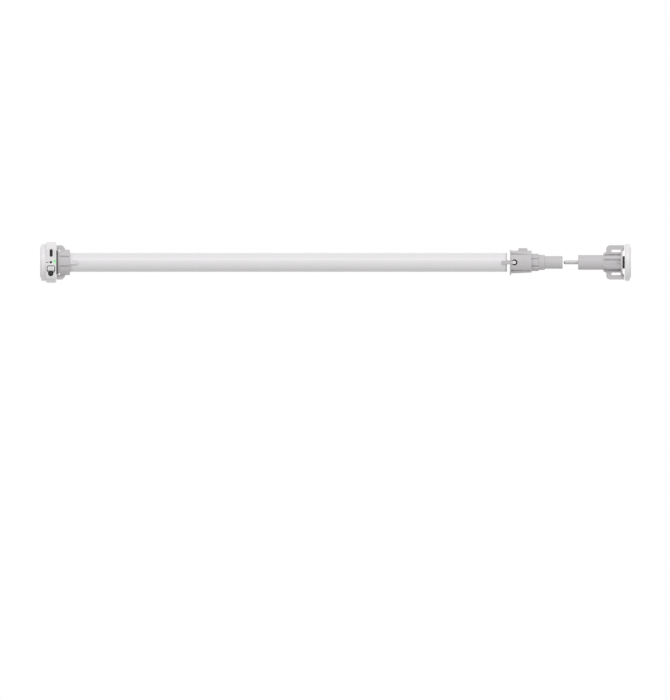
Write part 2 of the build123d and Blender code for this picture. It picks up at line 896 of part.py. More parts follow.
# Sensor board that reads the magnet on the rotor shaft
with BuildPart() as hall_board:
    with BuildSketch(across(hall_x)):
        Circle(tube_radius - tube_wall - cradle_gap)
    extrude(amount=hall_thickness)
    with BuildSketch(across(hall_x + hall_thickness)):
        with Locations((0, sensor_z)):
            Rectangle(*sensor_size)
    extrude(amount=sensor_height)
save(hall_board, "hall_board")

# Round magnet on the end of the rotor shaft
with BuildPart() as encoder_magnet:
    with BuildSketch(across(magnet_x)):
        Circle(magnet_radius)
        Circle(shaft_radius, mode=Mode.SUBTRACT)
    extrude(amount=magnet_length)
save(encoder_magnet, "encoder_magnet")

# Motor's end bell, with the bearing's nose
bell_x = motor_x - bell_length
journal_bore = shaft_radius + shaft_gap
with BuildPart() as motor_end_bell:
    revolve(turned([(bell_x - bell_nose, journal_bore), (bell_x - bell_nose, bell_nose_radius),
                    (bell_x, bell_nose_radius), (bell_x, motor_radius), (motor_x, motor_radius),
                    (motor_x, journal_bore)]), axis=Axis.X)
save(motor_end_bell, "motor_end_bell")

# Motor's can, drawn from sheet
can_end_x = motor_x + motor_length
with BuildPart() as motor_can:
    revolve(turned([(motor_x, motor_radius - can_wall), (motor_x, motor_radius),
                    (can_end_x - can_edge, motor_radius), (can_end_x, motor_radius - can_edge),
                    (can_end_x, journal_bore), (can_end_x - can_floor, journal_bore),
                    (can_end_x - can_floor, motor_radius - can_wall)]), axis=Axis.X)
save(motor_can, "motor_can")

# Two curved magnets glued in the can
with BuildPart() as motor_magnets:
    with BuildSketch(across(motor_magnet_x)):
        Circle(motor_radius - can_wall - thread_gap)
        Circle(rotor_radius + magnet_clearance, mode=Mode.SUBTRACT)
        Rectangle(motor_magnet_gap, 2 * motor_radius, mode=Mode.SUBTRACT)
    extrude(amount=motor_magnet_length)
save(motor_magnets, "motor_magnets")

# Rotor shaft with its commutator, from the magnet to the first sun gear
with BuildPart() as rotor_shaft:
    with BuildSketch(across(magnet_x)):
        Circle(shaft_radius)
    extrude(amount=stage_x[0] - magnet_x)
    with BuildSketch(across(commutator_x)):
        Circle(commutator_radius)
    extrude(amount=commutator_length)
save(rotor_shaft, "rotor_shaft")

# Rotor core of five slotted poles
with BuildPart() as rotor_core:
    with BuildSketch(across(rotor_core_x)):
        Circle(rotor_radius)
        with PolarLocations(winding_radius, poles):
            Rectangle(*winding_size, mode=Mode.SUBTRACT)
        with PolarLocations(rotor_radius, poles):
            Rectangle(2 * pole_slot_depth, pole_slot, mode=Mode.SUBTRACT)
        Circle(shaft_radius, mode=Mode.SUBTRACT)
    extrude(amount=rotor_core_length)
save(rotor_core, "rotor_core")

# Holding brake: a cup closed by its coil
brake_end_x = brake_x + brake_length
brake_floor_x = brake_x + brake_floor
brake_bore = shaft_radius + brake_shaft_gap
with BuildPart() as brake_housing:
    revolve(turned([(brake_x, motor_radius - brake_wall), (brake_x, motor_radius),
                    (brake_end_x, motor_radius), (brake_end_x, brake_bore), (brake_floor_x, brake_bore),
                    (brake_floor_x, brake_coil_radius), (brake_x + brake_cup, brake_coil_radius),
                    (brake_x + brake_cup, motor_radius - brake_wall)]), axis=Axis.X)
save(brake_housing, "brake_housing")

# Brake disc on the rotor shaft
with BuildPart() as brake_disc:
    with BuildSketch(across(brake_x + brake_disc_set_in)):
        Circle(brake_disc_radius)
        Circle(shaft_radius, mode=Mode.SUBTRACT)
    extrude(amount=brake_disc_thickness)
save(brake_disc, "brake_disc")


def involute(angle):
    """Involute function of an angle in radians."""
    return math.tan(angle) - angle


def gear(teeth, tip, root, thinning):
    """Face of a gear with a tooth at angle zero, its flanks true involutes above the base circle."""
    pitch_radius = gear_module * teeth / 2
    base_radius = pitch_radius * math.cos(math.radians(pressure_angle))
    half_tooth = math.pi / (2 * teeth) - thinning / pitch_radius + involute(math.radians(pressure_angle))
    flank = []
    for radius in (root, (max(root, base_radius) + tip) / 2, tip):
        flank.append((radius, half_tooth - involute(math.acos(min(1, base_radius / radius)))))
    points = []
    for tooth in range(teeth):
        middle = 2 * math.pi * tooth / teeth
        for radius, angle in flank:
            points.append((radius * math.cos(middle - angle), radius * math.sin(middle - angle)))
        for radius, angle in reversed(flank):
            points.append((radius * math.cos(middle + angle), radius * math.sin(middle + angle)))
    with BuildSketch() as outline:
        with BuildLine():
            Polyline(*points, close=True)
        make_face()
    return outline.sketch


def external_gear(teeth):
    """Gear with teeth outwards, in the size of this train."""
    pitch_radius = gear_module * teeth / 2
    return gear(teeth, pitch_radius + addendum, pitch_radius - dedendum, tooth_thinning)


# Ring gear: one barrel whose inner teeth serve all three stages
centre_distance = gear_module * (sun_teeth + planet_teeth) / 2
ring_pitch_radius = gear_module * ring_teeth / 2
ring_space = gear(ring_teeth, ring_pitch_radius + dedendum, ring_pitch_radius - addendum, -tooth_thinning)
with BuildPart() as ring_gear:
    with BuildSketch(across(barrel_x)):
        Circle(barrel_radius)
        add(ring_space, mode=Mode.SUBTRACT)
    extrude(amount=barrel_end_x - barrel_x)
    with BuildSketch(across(barrel_x)):
        Circle(barrel_radius)
        Circle(barrel_hole_radius, mode=Mode.SUBTRACT)
    extrude(amount=barrel_floor)
save(ring_gear, "ring_gear")

# First sun, on the rotor shaft
with BuildPart() as sun_gear_1:
    with BuildSketch(across(stage_x[0])):
        add(external_gear(sun_teeth))
    extrude(amount=face_width[0])
save(sun_gear_1, "sun_gear_1")

# Nine planets, three to a stage, all with one tooth pointing the same way at rest
for stage in range(len(stage_x)):
    for number in range(planets):
        turn = math.radians(number * 360 / planets)
        with BuildPart() as planet:
            with BuildSketch(across(stage_x[stage])):
                with Locations((centre_distance * math.cos(turn), centre_distance * math.sin(turn))):
                    add(external_gear(planet_teeth))
                    Circle(planet_bore, mode=Mode.SUBTRACT)
            extrude(amount=face_width[stage])
        save(planet, "planet_" + str(stage + 1) + "abc"[number])

# Inner carriers: plate with three pins on one side and the next stage's sun on the other
for stage in range(len(stage_x) - 1):
    pin_x = stage_x[stage] + pin_set_in
    sun_x = plate_x[stage] + plate_width[stage]
    with BuildPart() as carrier:
        with BuildSketch(across(plate_x[stage])):
            Circle(carrier_radius)
        extrude(amount=plate_width[stage])
        with BuildSketch(across(pin_x)):
            with PolarLocations(centre_distance, planets):
                Circle(planet_pin)
        extrude(amount=plate_x[stage] - pin_x)
        with BuildSketch(across(sun_x)):
            add(external_gear(sun_teeth))
        extrude(amount=stage_x[stage + 1] + face_width[stage + 1] - sun_x)
    save(carrier, "carrier_" + str(stage + 1))

# Output carrier, pressed on the output shaft
with BuildPart() as output_carrier:
    with BuildSketch(across(plate_x[2])):
        Circle(carrier_radius)
        Circle(output_radius, mode=Mode.SUBTRACT)
    extrude(amount=plate_width[2])
    with BuildSketch(across(stage_x[2] + pin_set_in)):
        with PolarLocations(centre_distance, planets):
            Circle(planet_pin)
    extrude(amount=plate_x[2] - stage_x[2] - pin_set_in)
save(output_carrier, "output_carrier")

# Output shaft, with a flat that drives the adapter
flat_middle = output_flat + output_radius
with BuildPart() as output_shaft:
    with BuildSketch(across(plate_x[2] + pin_set_in)):
        Circle(output_radius)
    extrude(amount=adapter_end_x - plate_x[2] - pin_set_in)
    with Locations(((adapter_x + adapter_end_x) / 2, 0, flat_middle)):
        Box(adapter_end_x - adapter_x, 2 * output_radius, 2 * output_radius, mode=Mode.SUBTRACT)
save(output_shaft, "output_shaft")

# End cap of the tube, which holds two bushes and ends in the grey ring
cap_bore = output_radius + cap_bore_gap
with BuildPart() as end_cap:
    revolve(turned([(cap_x, bush_radius), (cap_x, plug_radius), (cap_flange_x, plug_radius),
                    (cap_flange_x, tube_radius), (tube_end_x, tube_radius),
                    (tube_end_x, bush_radius), (tube_end_x - bush_length, bush_radius),
                    (tube_end_x - bush_length, cap_bore), (cap_x + bush_length, cap_bore),
                    (cap_x + bush_length, bush_radius)]), axis=Axis.X)
    chamfer(rims(end_cap, tube_radius).sort_by(Axis.X)[-1:], cap_edge)
save(end_cap, "end_cap")

# Bushes that the output shaft turns in
with BuildPart() as output_bushes:
    for station in (cap_x, tube_end_x - bush_length):
        with BuildSketch(across(station)):
            Circle(bush_radius)
            Circle(output_radius + bush_gap, mode=Mode.SUBTRACT)
        extrude(amount=bush_length)
save(output_bushes, "output_bushes")

# Adapter on the shaft's flat, with four keys for the drive wheel
with BuildPart() as shaft_adapter:
    with BuildSketch(across(adapter_x)):
        Circle(adapter_radius - adapter_gap)
        with PolarLocations(adapter_radius, keys, start_angle=key_start):
            Rectangle(2 * key_height - 4 * adapter_gap, key_width - 2 * adapter_gap)
    extrude(amount=adapter_end_x - adapter_x - 4 * adapter_gap)
    with BuildSketch(across(adapter_x)):
        Circle(output_radius)
        with Locations((0, flat_middle)):
            Rectangle(2 * output_radius, 2 * output_radius, mode=Mode.SUBTRACT)
    extrude(amount=adapter_end_x - adapter_x, mode=Mode.SUBTRACT)
    with Locations((clip_x, -adapter_radius, 0)):
        Box(*nub_pocket, mode=Mode.SUBTRACT)
save(shaft_adapter, "shaft_adapter")

# Drive wheel: thin flange, body with tapered notches and a key on top, and a collet
with BuildPart() as drive_wheel:
    revolve(turned([(wheel_x, adapter_radius), (wheel_x, wheel_flange_radius),
                    (wheel_flange_end_x, wheel_flange_radius), (wheel_flange_end_x, wheel_radius),
                    (wheel_end_x, wheel_radius), (wheel_end_x, collet_radius),
                    (collet_end_x, collet_radius), (collet_end_x, shank_radius),
                    (adapter_end_x, shank_radius), (adapter_end_x, adapter_radius)]), axis=Axis.X)
    chamfer(rims(drive_wheel, collet_radius).sort_by(Axis.X)[-1:], collet_edge)
    with BuildSketch(across(wheel_x)):
        with PolarLocations(adapter_radius, keys, start_angle=key_start):
            Rectangle(2 * key_height, key_width)
    extrude(amount=adapter_end_x - wheel_x, mode=Mode.SUBTRACT)
    # Four notches that run out towards the end band, and the flat below
    for wide, narrow in wheel_notches:
        for side in (1, -1):
            with BuildSketch(across(wheel_flange_end_x)):
                add(notch(wide, side))
            with BuildSketch(across(wheel_band_x)):
                add(notch(narrow, side))
            loft(ruled=True, mode=Mode.SUBTRACT)
    with BuildSketch(front(0)):
        with BuildLine():
            Polyline((wheel_flange_end_x, -wheel_low), (wheel_end_x, -wheel_end_low),
                     (wheel_end_x, -wheel_radius), (wheel_flange_end_x, -wheel_radius), close=True)
        make_face()
    extrude(amount=wheel_radius, both=True, mode=Mode.SUBTRACT)
    with Locations((lug_x + lug_length / 2, 0, (lug_radius + wheel_radius - lug_root) / 2)):
        Box(lug_length, lug_width, lug_radius - wheel_radius + lug_root)
    lug_top = drive_wheel.faces().filter_by(Axis.Z).sort_by(Axis.Z)[-1]
    chamfer(lug_top.edges(), lug_edge)
    # Notches of the collet, and its four latch holes
    with BuildSketch(across(wheel_end_x)):
        for corners in collet_notches:
            add(notch(corners, 1))
            add(notch(corners, -1))
    extrude(amount=collet_end_x - wheel_end_x, mode=Mode.SUBTRACT)
    for angle in latch_angles:
        outwards = (0, math.cos(math.radians(angle)), math.sin(math.radians(angle)))
        foot = (latch_x, outwards[1] * collet_radius, outwards[2] * collet_radius)
        with BuildSketch(Plane(origin=foot, z_dir=outwards)):
            Circle(latch_radius)
        extrude(amount=-latch_depth, mode=Mode.SUBTRACT)
    # Round hole for the clip's button and the slot that its arm lies in
    with BuildSketch(front(lug_radius)):
        with Locations((clip_x, 0)):
            Circle(clip_hole_radius)
    extrude(amount=-clip_hole_depth, mode=Mode.SUBTRACT)
    with BuildSketch(front(lug_radius)):
        with Locations(((wheel_x + clip_x) / 2, 0)):
            Rectangle(clip_x - wheel_x, clip_arm_width + clip_slot_gap)
    extrude(amount=-clip_slot_depth, mode=Mode.SUBTRACT)
    with Locations((clip_pivot_x, -clip_pivot_radius, 0)):
        Cylinder(clip_pin_radius + clip_pin_gap, clip_arm_width + 2 * clip_pin_reach + clip_slot_gap / 2,
                 mode=Mode.SUBTRACT)
save(drive_wheel, "drive_wheel")

# Release clip: tongue over the tube's end, pivot in the wheel, and a round button with a nub
with BuildPart() as wheel_clip:
    with BuildSketch(front(clip_outer)):
        with Locations(((clip_tip_x + clip_x) / 2, 0)):
            SlotOverall(clip_x - clip_tip_x, clip_tongue_width)
        with BuildLine():
            Polyline((clip_neck_x, clip_tongue_width / 2), (clip_shoulder_x, clip_arm_width / 2),
                     (clip_x, clip_arm_width / 2), (clip_x, -clip_arm_width / 2),
                     (clip_shoulder_x, -clip_arm_width / 2), (clip_neck_x, -clip_tongue_width / 2),
                     close=True)
        make_face()
    extrude(amount=-(clip_outer - clip_inner))
    with BuildSketch(front(clip_outer + clip_button_proud)):
        with Locations((clip_x, 0)):
            Circle(clip_button_radius)
    extrude(amount=-clip_button_height)
    with BuildSketch(front(clip_outer - nub_set_in)):
        with Locations((clip_x, 0)):
            Circle(nub_radius)
    extrude(amount=-nub_length)
    with Locations((clip_pivot_x, -clip_pivot_radius, 0)):
        Cylinder(clip_pin_radius, clip_arm_width + 2 * clip_pin_reach)
save(wheel_clip, "wheel_clip")

# Nose: shank held in the collet, collar and socket for the idler pin
pin_bore = pin_radius + pin_gap
with BuildPart() as nose_socket:
    revolve(turned([(nose_x, 0), (nose_x, shank_radius - shank_gap),
                    (collet_end_x, shank_radius - shank_gap), (collet_end_x, collar_radius),
                    (collar_end_x, collar_radius), (collar_end_x, nose_radius),
                    (nose_end_x, nose_radius), (nose_end_x, pin_bore),
                    (nose_end_x - nose_bore_depth, pin_bore),
                    (nose_end_x - nose_bore_depth, 0)]), axis=Axis.X)
    chamfer(rims(nose_socket, collar_radius).sort_by(Axis.X)[-1:], collar_edge)
    chamfer(rims(nose_socket, nose_radius).sort_by(Axis.X)[-1:], nose_edge)
    chamfer(rims(nose_socket, pin_bore).sort_by(Axis.X)[-1:], nose_lead_in)
save(nose_socket, "nose_socket")

# Idler pin with its bevelled tip, collar and tail
spring_x = pin_collar_x + pin_collar_length
with BuildPart() as idler_pin:
    revolve(turned([(pin_tip_x, 0), (pin_tip_x, pin_radius - pin_bevel), (pin_tip_x + pin_bevel, pin_radius),
                    (pin_collar_x, pin_radius), (pin_collar_x, pin_collar_radius),
                    (spring_x, pin_collar_radius), (spring_x, pin_tail_radius),
                    (pin_tail_x, pin_tail_radius), (pin_tail_x, 0)]), axis=Axis.X)
save(idler_pin, "idler_pin")

# Sleeve that the pin slides in
sleeve_floor_x = sleeve_end_x - sleeve_floor
sleeve_screw_hole = sleeve_screw_radius + sleeve_screw_gap
with BuildPart() as idler_sleeve:
    revolve(turned([(sleeve_x, pin_bore), (sleeve_x, sleeve_radius), (sleeve_end_x, sleeve_radius),
                    (sleeve_end_x, sleeve_screw_hole), (sleeve_floor_x, sleeve_screw_hole),
                    (sleeve_floor_x, sleeve_bore), (sleeve_wall_x, sleeve_bore),
                    (sleeve_wall_x, pin_bore)]), axis=Axis.X)
    chamfer(rims(idler_sleeve, sleeve_radius).sort_by(Axis.X)[0:1], sleeve_edge)
save(idler_sleeve, "idler_sleeve")

# Spring between the pin's collar and the sleeve's floor
idler_spring_plane = Plane(origin=(spring_x, 0, 0), x_dir=(0, 1, 0), z_dir=(1, 0, 0))
idler_spring, idler_spring_gap = coil(idler_spring_radius, idler_spring_wire, idler_spring_turns,
                                      sleeve_floor_x - spring_x, idler_spring_plane)
save(idler_spring, "idler_spring")
print("least gap in the idler's spring, mm:", round(idler_spring_gap, 2))

# Screw from inside the sleeve into the crown's web
web_end_x = sleeve_end_x + web_thickness
with BuildPart() as sleeve_screw:
    with BuildSketch(across(sleeve_floor_x)):
        Circle(sleeve_screw_head_radius)
    extrude(amount=-sleeve_screw_head)
    with BuildSketch(across(sleeve_floor_x)):
        Circle(sleeve_screw_radius)
    extrude(amount=web_end_x - sleeve_floor_x - sleeve_screw_gap)
save(sleeve_screw, "sleeve_screw")

# Ribs of the idler crown, rounded off where the roller tube slides on
rib_middle = (idler_core_radius + idler_rib_radius) / 2
fin_corner_x = fin_x + fin_radius - fin_shoulder
with BuildPart() as crown_ribs:
    with BuildSketch(across(idler_rib_x)):
        with PolarLocations(rib_middle, idler_ribs, start_angle=idler_rib_start):
            Rectangle(idler_rib_radius - idler_core_radius + fin_root, idler_rib_width)
    extrude(amount=idler_flange_x - idler_rib_x)
    revolve(turned([(idler_rib_x, 0), (idler_rib_x, idler_rib_radius - idler_rib_round),
                    (idler_rib_x + idler_rib_round, idler_rib_radius), (idler_flange_x, idler_rib_radius),
                    (idler_flange_x, 0)]), axis=Axis.X, mode=Mode.INTERSECT)

# Idler crown: core with its ribs, flange and a looped fin above and below
with BuildPart() as idler_crown:
    revolve(turned([(sleeve_end_x, sleeve_screw_radius), (sleeve_end_x, idler_core_radius),
                    (idler_flange_x, idler_core_radius), (idler_flange_x, idler_flange_radius),
                    (idler_flange_end_x, idler_flange_radius), (idler_flange_end_x, idler_bore),
                    (web_end_x, idler_bore), (web_end_x, sleeve_screw_radius)]), axis=Axis.X)
    add(crown_ribs.part)
    for side in (1, -1):
        root = side * (idler_core_radius + fin_root)
        with BuildSketch(front(fin_thickness / 2)):
            with BuildLine():
                Polyline((fin_corner_x, side * fin_radius), (fin_end_x, side * fin_radius),
                         (fin_end_x, side * (idler_flange_radius - fin_root)), (window_end_x, root),
                         (fin_x, root), (fin_x, side * fin_shoulder))
                TangentArc((fin_x, side * fin_shoulder), (fin_corner_x, side * fin_radius),
                           tangent=(0, side))
            make_face()
            with Locations(((window_x + window_end_x) / 2, side * window_z)):
                Rectangle(window_end_x - window_x, window_height, mode=Mode.SUBTRACT)
        extrude(amount=-fin_thickness)
        # Bleed holes beside the ribs, at the front and at the back
        with BuildSketch(front(side * bleed_floor)):
            with Locations((bleed_x, bleed_z), (bleed_x, -bleed_z)):
                Circle(bleed_radius)
        extrude(amount=side * idler_core_radius, mode=Mode.SUBTRACT)
    # Groove round the snap tongue that holds the hub
    with BuildSketch(front(idler_core_radius)):
        with Locations((snap_x, snap_z)):
            RectangleRounded(*snap_size, snap_corner)
            RectangleRounded(snap_size[0] - 2 * snap_groove, snap_size[1] - 2 * snap_groove,
                             snap_corner - snap_groove, mode=Mode.SUBTRACT)
    extrude(amount=-snap_depth, mode=Mode.SUBTRACT)
save(idler_crown, "idler_crown")

# Dark hub with the spindle that the crown turns on
spindle_x = web_end_x + spindle_gap
with BuildPart() as idler_hub:
    revolve(turned([(spindle_x, 0), (spindle_x, idler_spindle - spindle_lead_in),
                    (spindle_x + spindle_lead_in, idler_spindle),
                    (idler_flange_end_x + idler_gap, idler_spindle),
                    (idler_flange_end_x + idler_gap, hub_radius), (idler_plate_x, hub_radius),
                    (idler_plate_x, 0)]), axis=Axis.X)
save(idler_hub, "idler_hub")

# End plate of the idler, the same as the head's
far_face = Plane(origin=(length, 0, 0), x_dir=(0, 1, 0), z_dir=(1, 0, 0))
idler_edge_x = length - pad_height
with BuildPart() as idler_plate:
    revolve(turned([(idler_plate_x, 0), (idler_plate_x, plate_radius),
                    (idler_edge_x, plate_radius), (idler_edge_x, pad_radius), (length, pad_radius),
                    (length, 0)]), axis=Axis.X)
    chamfer(rims(idler_plate, plate_radius).sort_by(Axis.X)[-1:], plate_edge)
    chamfer(rims(idler_plate, plate_radius).sort_by(Axis.X)[0:1], idler_plate_edge)
    with Locations(far_face):
        Hole(bracket_bore_radius, depth=bracket_depth)
        with PolarLocations(bracket_bolt_circle / 2, bracket_bolts, start_angle=45):
            Hole(bracket_bolt_radius, depth=bracket_depth)
save(idler_plate, "idler_plate")
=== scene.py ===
import math

import bmesh
import bpy
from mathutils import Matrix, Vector


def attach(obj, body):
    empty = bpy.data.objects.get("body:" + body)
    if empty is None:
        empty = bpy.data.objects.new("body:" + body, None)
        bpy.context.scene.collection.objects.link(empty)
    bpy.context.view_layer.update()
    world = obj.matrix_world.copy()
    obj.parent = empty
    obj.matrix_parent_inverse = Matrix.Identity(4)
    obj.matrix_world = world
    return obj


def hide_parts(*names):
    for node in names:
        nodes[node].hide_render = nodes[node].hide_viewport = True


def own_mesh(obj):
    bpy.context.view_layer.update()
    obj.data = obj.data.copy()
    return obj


# Battery motor kit that turns a roller tube: motor, drive wheel and idler end on one axis along X
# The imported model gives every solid, and this file gives finishes, small trim, camera and light
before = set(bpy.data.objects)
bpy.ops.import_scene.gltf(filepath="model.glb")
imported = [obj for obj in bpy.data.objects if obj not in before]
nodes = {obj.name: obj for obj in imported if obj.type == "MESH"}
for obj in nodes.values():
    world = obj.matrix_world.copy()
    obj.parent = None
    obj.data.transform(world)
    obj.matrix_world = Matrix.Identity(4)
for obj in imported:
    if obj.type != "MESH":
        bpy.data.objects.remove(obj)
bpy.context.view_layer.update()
scene = bpy.context.scene
scene.view_settings.view_transform = "Standard"

# Camera: level and square to the axis, with no perspective, as in the photograph
# The picture is 670 by 700 pixels at 1.316 mm a pixel, and the axis lies 87.6 pixels over its centre
picture_height = 0.9212
camera_place = (0.3881, -5.1, -0.1153)
camera_data = bpy.data.cameras.new("camera")
camera_data.type = "ORTHO"
camera_data.ortho_scale = picture_height
camera_data.clip_end = 100.0
camera = bpy.data.objects.new("camera", camera_data)
camera.location = camera_place
camera.rotation_euler = (math.pi / 2, 0.0, 0.0)
scene.collection.objects.link(camera)
scene.camera = camera


def feed(tree, inputs, *values):
    """Give inputs, by name or number, an output to follow or a plain value."""
    for place, value in values:
        if isinstance(value, bpy.types.NodeSocket):
            tree.links.new(value, inputs[place])
        else:
            inputs[place].default_value = value


def step(tree, kind, *values, **settings):
    """Add a node with its settings, and feed its inputs."""
    node = tree.nodes.new(kind)
    for label, setting in settings.items():
        setattr(node, label, setting)
    feed(tree, node.inputs, *values)
    return node


def sums(tree, operation, *values):
    """Socket with the result of a sum on its values."""
    return step(tree, "ShaderNodeMath", *enumerate(values), operation=operation).outputs[0]


def seen_white(tree):
    """Socket that is 1 for rays from the camera, a reflection or glass, and 0 for the light itself."""
    ray = step(tree, "ShaderNodeLightPath").outputs
    seen = sums(tree, "MAXIMUM", ray["Is Camera Ray"], ray["Is Glossy Ray"])
    return sums(tree, "MAXIMUM", seen, ray["Is Transmission Ray"])


sky_white = (1.0, 1.0, 1.0, 1.0)
sky_strength = 0.65
seen_strength = 1.0
world = bpy.data.worlds.new("room")
world.use_nodes = True
scene.world = world
sky = world.node_tree
sky.nodes.clear()
lit_sky = step(sky, "ShaderNodeBackground", ("Color", sky_white), ("Strength", sky_strength))
white_sky = step(sky, "ShaderNodeBackground", ("Color", sky_white), ("Strength", seen_strength))
either_sky = step(sky, "ShaderNodeMixShader", (0, seen_white(sky)), (1, lit_sky.outputs[0]),
                  (2, white_sky.outputs[0]))
step(sky, "ShaderNodeOutputWorld", ("Surface", either_sky.outputs[0]))

lamp_place = Vector((0.39, -1.95, 1.55))
lamp_target = Vector((0.39, 0.0, 0.0))
lamp_width, lamp_height = 2.2, 1.0
lamp_power = 19.4
lamp_data = bpy.data.lights.new("front and above", "AREA")
lamp_data.shape = "RECTANGLE"
lamp_data.size = lamp_width
lamp_data.size_y = lamp_height
lamp_data.energy = lamp_power
lamp = bpy.data.objects.new("front and above", lamp_data)
lamp.location = lamp_place
lamp.rotation_euler = (lamp_target - lamp_place).to_track_quat("-Z", "Y").to_euler()
scene.collection.objects.link(lamp)


def blank(name):
    """New material, with its tree and its shader's inputs."""
    material = bpy.data.materials.new(name)
    material.use_nodes = True
    return material, material.node_tree, material.node_tree.nodes["Principled BSDF"].inputs


floor_level = -0.75
floor_left, floor_right, floor_front, floor_back = -8, 9, -8, 8
floor_grey = (0.74, 0.74, 0.74, 1.0)
floor_roughness = 0.9
floor_whiteness = 0.87
floor_mesh = bpy.data.meshes.new("floor")
floor_corners = [(floor_left, floor_front), (floor_right, floor_front), (floor_right, floor_back),
                 (floor_left, floor_back)]
floor_mesh.from_pydata([(*corner, floor_level) for corner in floor_corners], [], [(0, 1, 2, 3)])
floor = bpy.data.objects.new("floor", floor_mesh)
scene.collection.objects.link(floor)
floor_paint, floor_tree, floor_inputs = blank("floor_paint")
feed(floor_tree, floor_inputs, ("Base Color", floor_grey), ("Roughness", floor_roughness))
floor_share = sums(floor_tree, "MULTIPLY", seen_white(floor_tree), floor_whiteness)
floor_white = step(floor_tree, "ShaderNodeEmission", ("Strength", seen_strength))
floor_mix = step(floor_tree, "ShaderNodeMixShader", (0, floor_share),
                 (1, floor_tree.nodes["Principled BSDF"].outputs[0]), (2, floor_white.outputs[0]))
feed(floor_tree, floor_tree.nodes["Material Output"].inputs, ("Surface", floor_mix.outputs[0]))
floor_mesh.materials.append(floor_paint)


# End plates: white moulded discs with a raised pad, one screwed to the head, one pressed on the idler's hub
# Polymer with a fine spark-eroded skin: slightly uneven gloss, faint flow lines and a few pale specks
def node_group(name, wanted, given):
    """Empty shader group with named inputs and outputs."""
    group = bpy.data.node_groups.new(name, "ShaderNodeTree")
    for label, kind, value in wanted:
        socket = group.interface.new_socket(label, in_out="INPUT", socket_type="NodeSocket" + kind)
        socket.default_value = value
    for label, kind in given:
        group.interface.new_socket(label, in_out="OUTPUT", socket_type="NodeSocket" + kind)
    return group, group.nodes.new("NodeGroupInput").outputs, group.nodes.new("NodeGroupOutput").inputs


def place_on(tree):
    """Socket with the place on the piece, in metres."""
    return step(tree, "ShaderNodeTexCoord").outputs["Object"]


def cloud(tree, place, scale, detail):
    """Socket with a soft random mask."""
    return step(tree, "ShaderNodeTexNoise", ("Vector", place), ("Scale", scale),
                ("Detail", detail)).outputs["Fac"]


def between(tree, mask, least, most):
    """Socket that goes from the least to the most as a mask goes from 0 to 1."""
    return step(tree, "ShaderNodeMapRange", ("Value", mask), ("To Min", least), ("To Max", most)).outputs[0]


def mixed(tree, share, first, second, way="MIX"):
    """Colour socket between two colours, by a share."""
    return step(tree, "ShaderNodeMix", ("Factor", share), ("A", first), ("B", second),
                data_type="RGBA", blend_type=way).outputs["Result"]


def surface_group(name):
    """Shader group of a surface, with its inputs, its outputs and the place on the piece."""
    group, start, end = node_group(
        name, [("Colour", "Color", (0.8, 0.8, 0.8, 1.0)), ("Scale", "Float", 2500.0),
               ("Smoothest", "Float", 0.3), ("Roughest", "Float", 0.4), ("Least", "Float", 0.97)],
        [("Colour", "Color"), ("Roughness", "Float"), ("Height", "Float")])
    return group, start, end, place_on(group)


def shaded(group, start, end, shade, wear, height):
    """End a surface group: colour down to the least by shade, roughness by wear, relief by height."""
    value = between(group, shade, start["Least"], 1.0)
    grey = step(group, "ShaderNodeCombineColor", ("Red", value), ("Green", value), ("Blue", value)).outputs[0]
    feed(group, end, ("Colour", mixed(group, 1.0, start["Colour"], grey, "MULTIPLY")),
         ("Roughness", between(group, wear, start["Smoothest"], start["Roughest"])), ("Height", height))


flow_stretch = (0.08, 1.0, 1.0)
moulded_skin, skin_in, skin_out, skin_place = surface_group("moulded skin")
skin_pull = step(moulded_skin, "ShaderNodeMapping", ("Vector", skin_place), ("Scale", flow_stretch))
skin_mottle = sums(moulded_skin, "ADD", cloud(moulded_skin, skin_place, scale=70.0, detail=4.0),
                   cloud(moulded_skin, skin_pull.outputs[0], scale=420.0, detail=2.0))
skin_half = sums(moulded_skin, "MULTIPLY", skin_mottle, 0.5)
skin_grain = cloud(moulded_skin, skin_place, scale=skin_in["Scale"], detail=3.0)
shaded(moulded_skin, skin_in, skin_out, skin_half, skin_half, skin_grain)


def surfaced(name, group, colour, scale, rough, least, relief, depth, **own):
    """Material whose colour, roughness and fine relief come from one shader group."""
    material, tree, inputs = blank(name)
    skin = step(tree, "ShaderNodeGroup", ("Colour", (*colour, 1.0)), ("Scale", scale),
                ("Smoothest", rough[0]), ("Roughest", rough[1]), ("Least", least), node_tree=group).outputs
    bump = step(tree, "ShaderNodeBump", ("Strength", relief), ("Distance", depth), ("Height", skin["Height"]))
    feed(tree, inputs, ("Base Color", skin["Colour"]), ("Roughness", skin["Roughness"]),
         ("Normal", bump.outputs["Normal"]))
    for label, value in own.items():
        inputs[label.replace("_", " ")].default_value = value
    return material


def finish(material, *names):
    """Give CAD nodes a material."""
    for name in names:
        nodes[name].material_slots[0].material = material


white_moulding = surfaced("white moulding", moulded_skin, (0.935, 0.918, 0.932), scale=2600.0,
                          rough=(0.30, 0.40), least=0.96, relief=0.3, depth=0.00004)
finish(white_moulding, "end_plate", "idler_plate")


# Screws: zinc-plated steel with a cross recess, three for the end plate, three for the spigot and one for
# the sleeve. Head, rolled thread and point are grown by one Geometry Nodes tree, and each set is one mesh
def plated_steel():
    """Shader group of a plated finish: fine spangle over a slow stain."""
    group, start, end, place = surface_group("plated metal")
    spangle = step(group, "ShaderNodeTexVoronoi", ("Vector", place), ("Scale", start["Scale"])).outputs
    stain = cloud(group, place, scale=160.0, detail=5.0)
    grey = step(group, "ShaderNodeSeparateColor", ("Color", spangle["Color"])).outputs[0]
    shaded(group, start, end, sums(group, "MULTIPLY", grey, stain), stain, spangle["Distance"])
    return group


plated_metal = plated_steel()
zinc_plate = surfaced("zinc plate", plated_metal, (0.76, 0.77, 0.79), scale=3000.0, rough=(0.28, 0.45),
                      least=0.78, relief=0.1, depth=0.00003, Metallic=1.0)


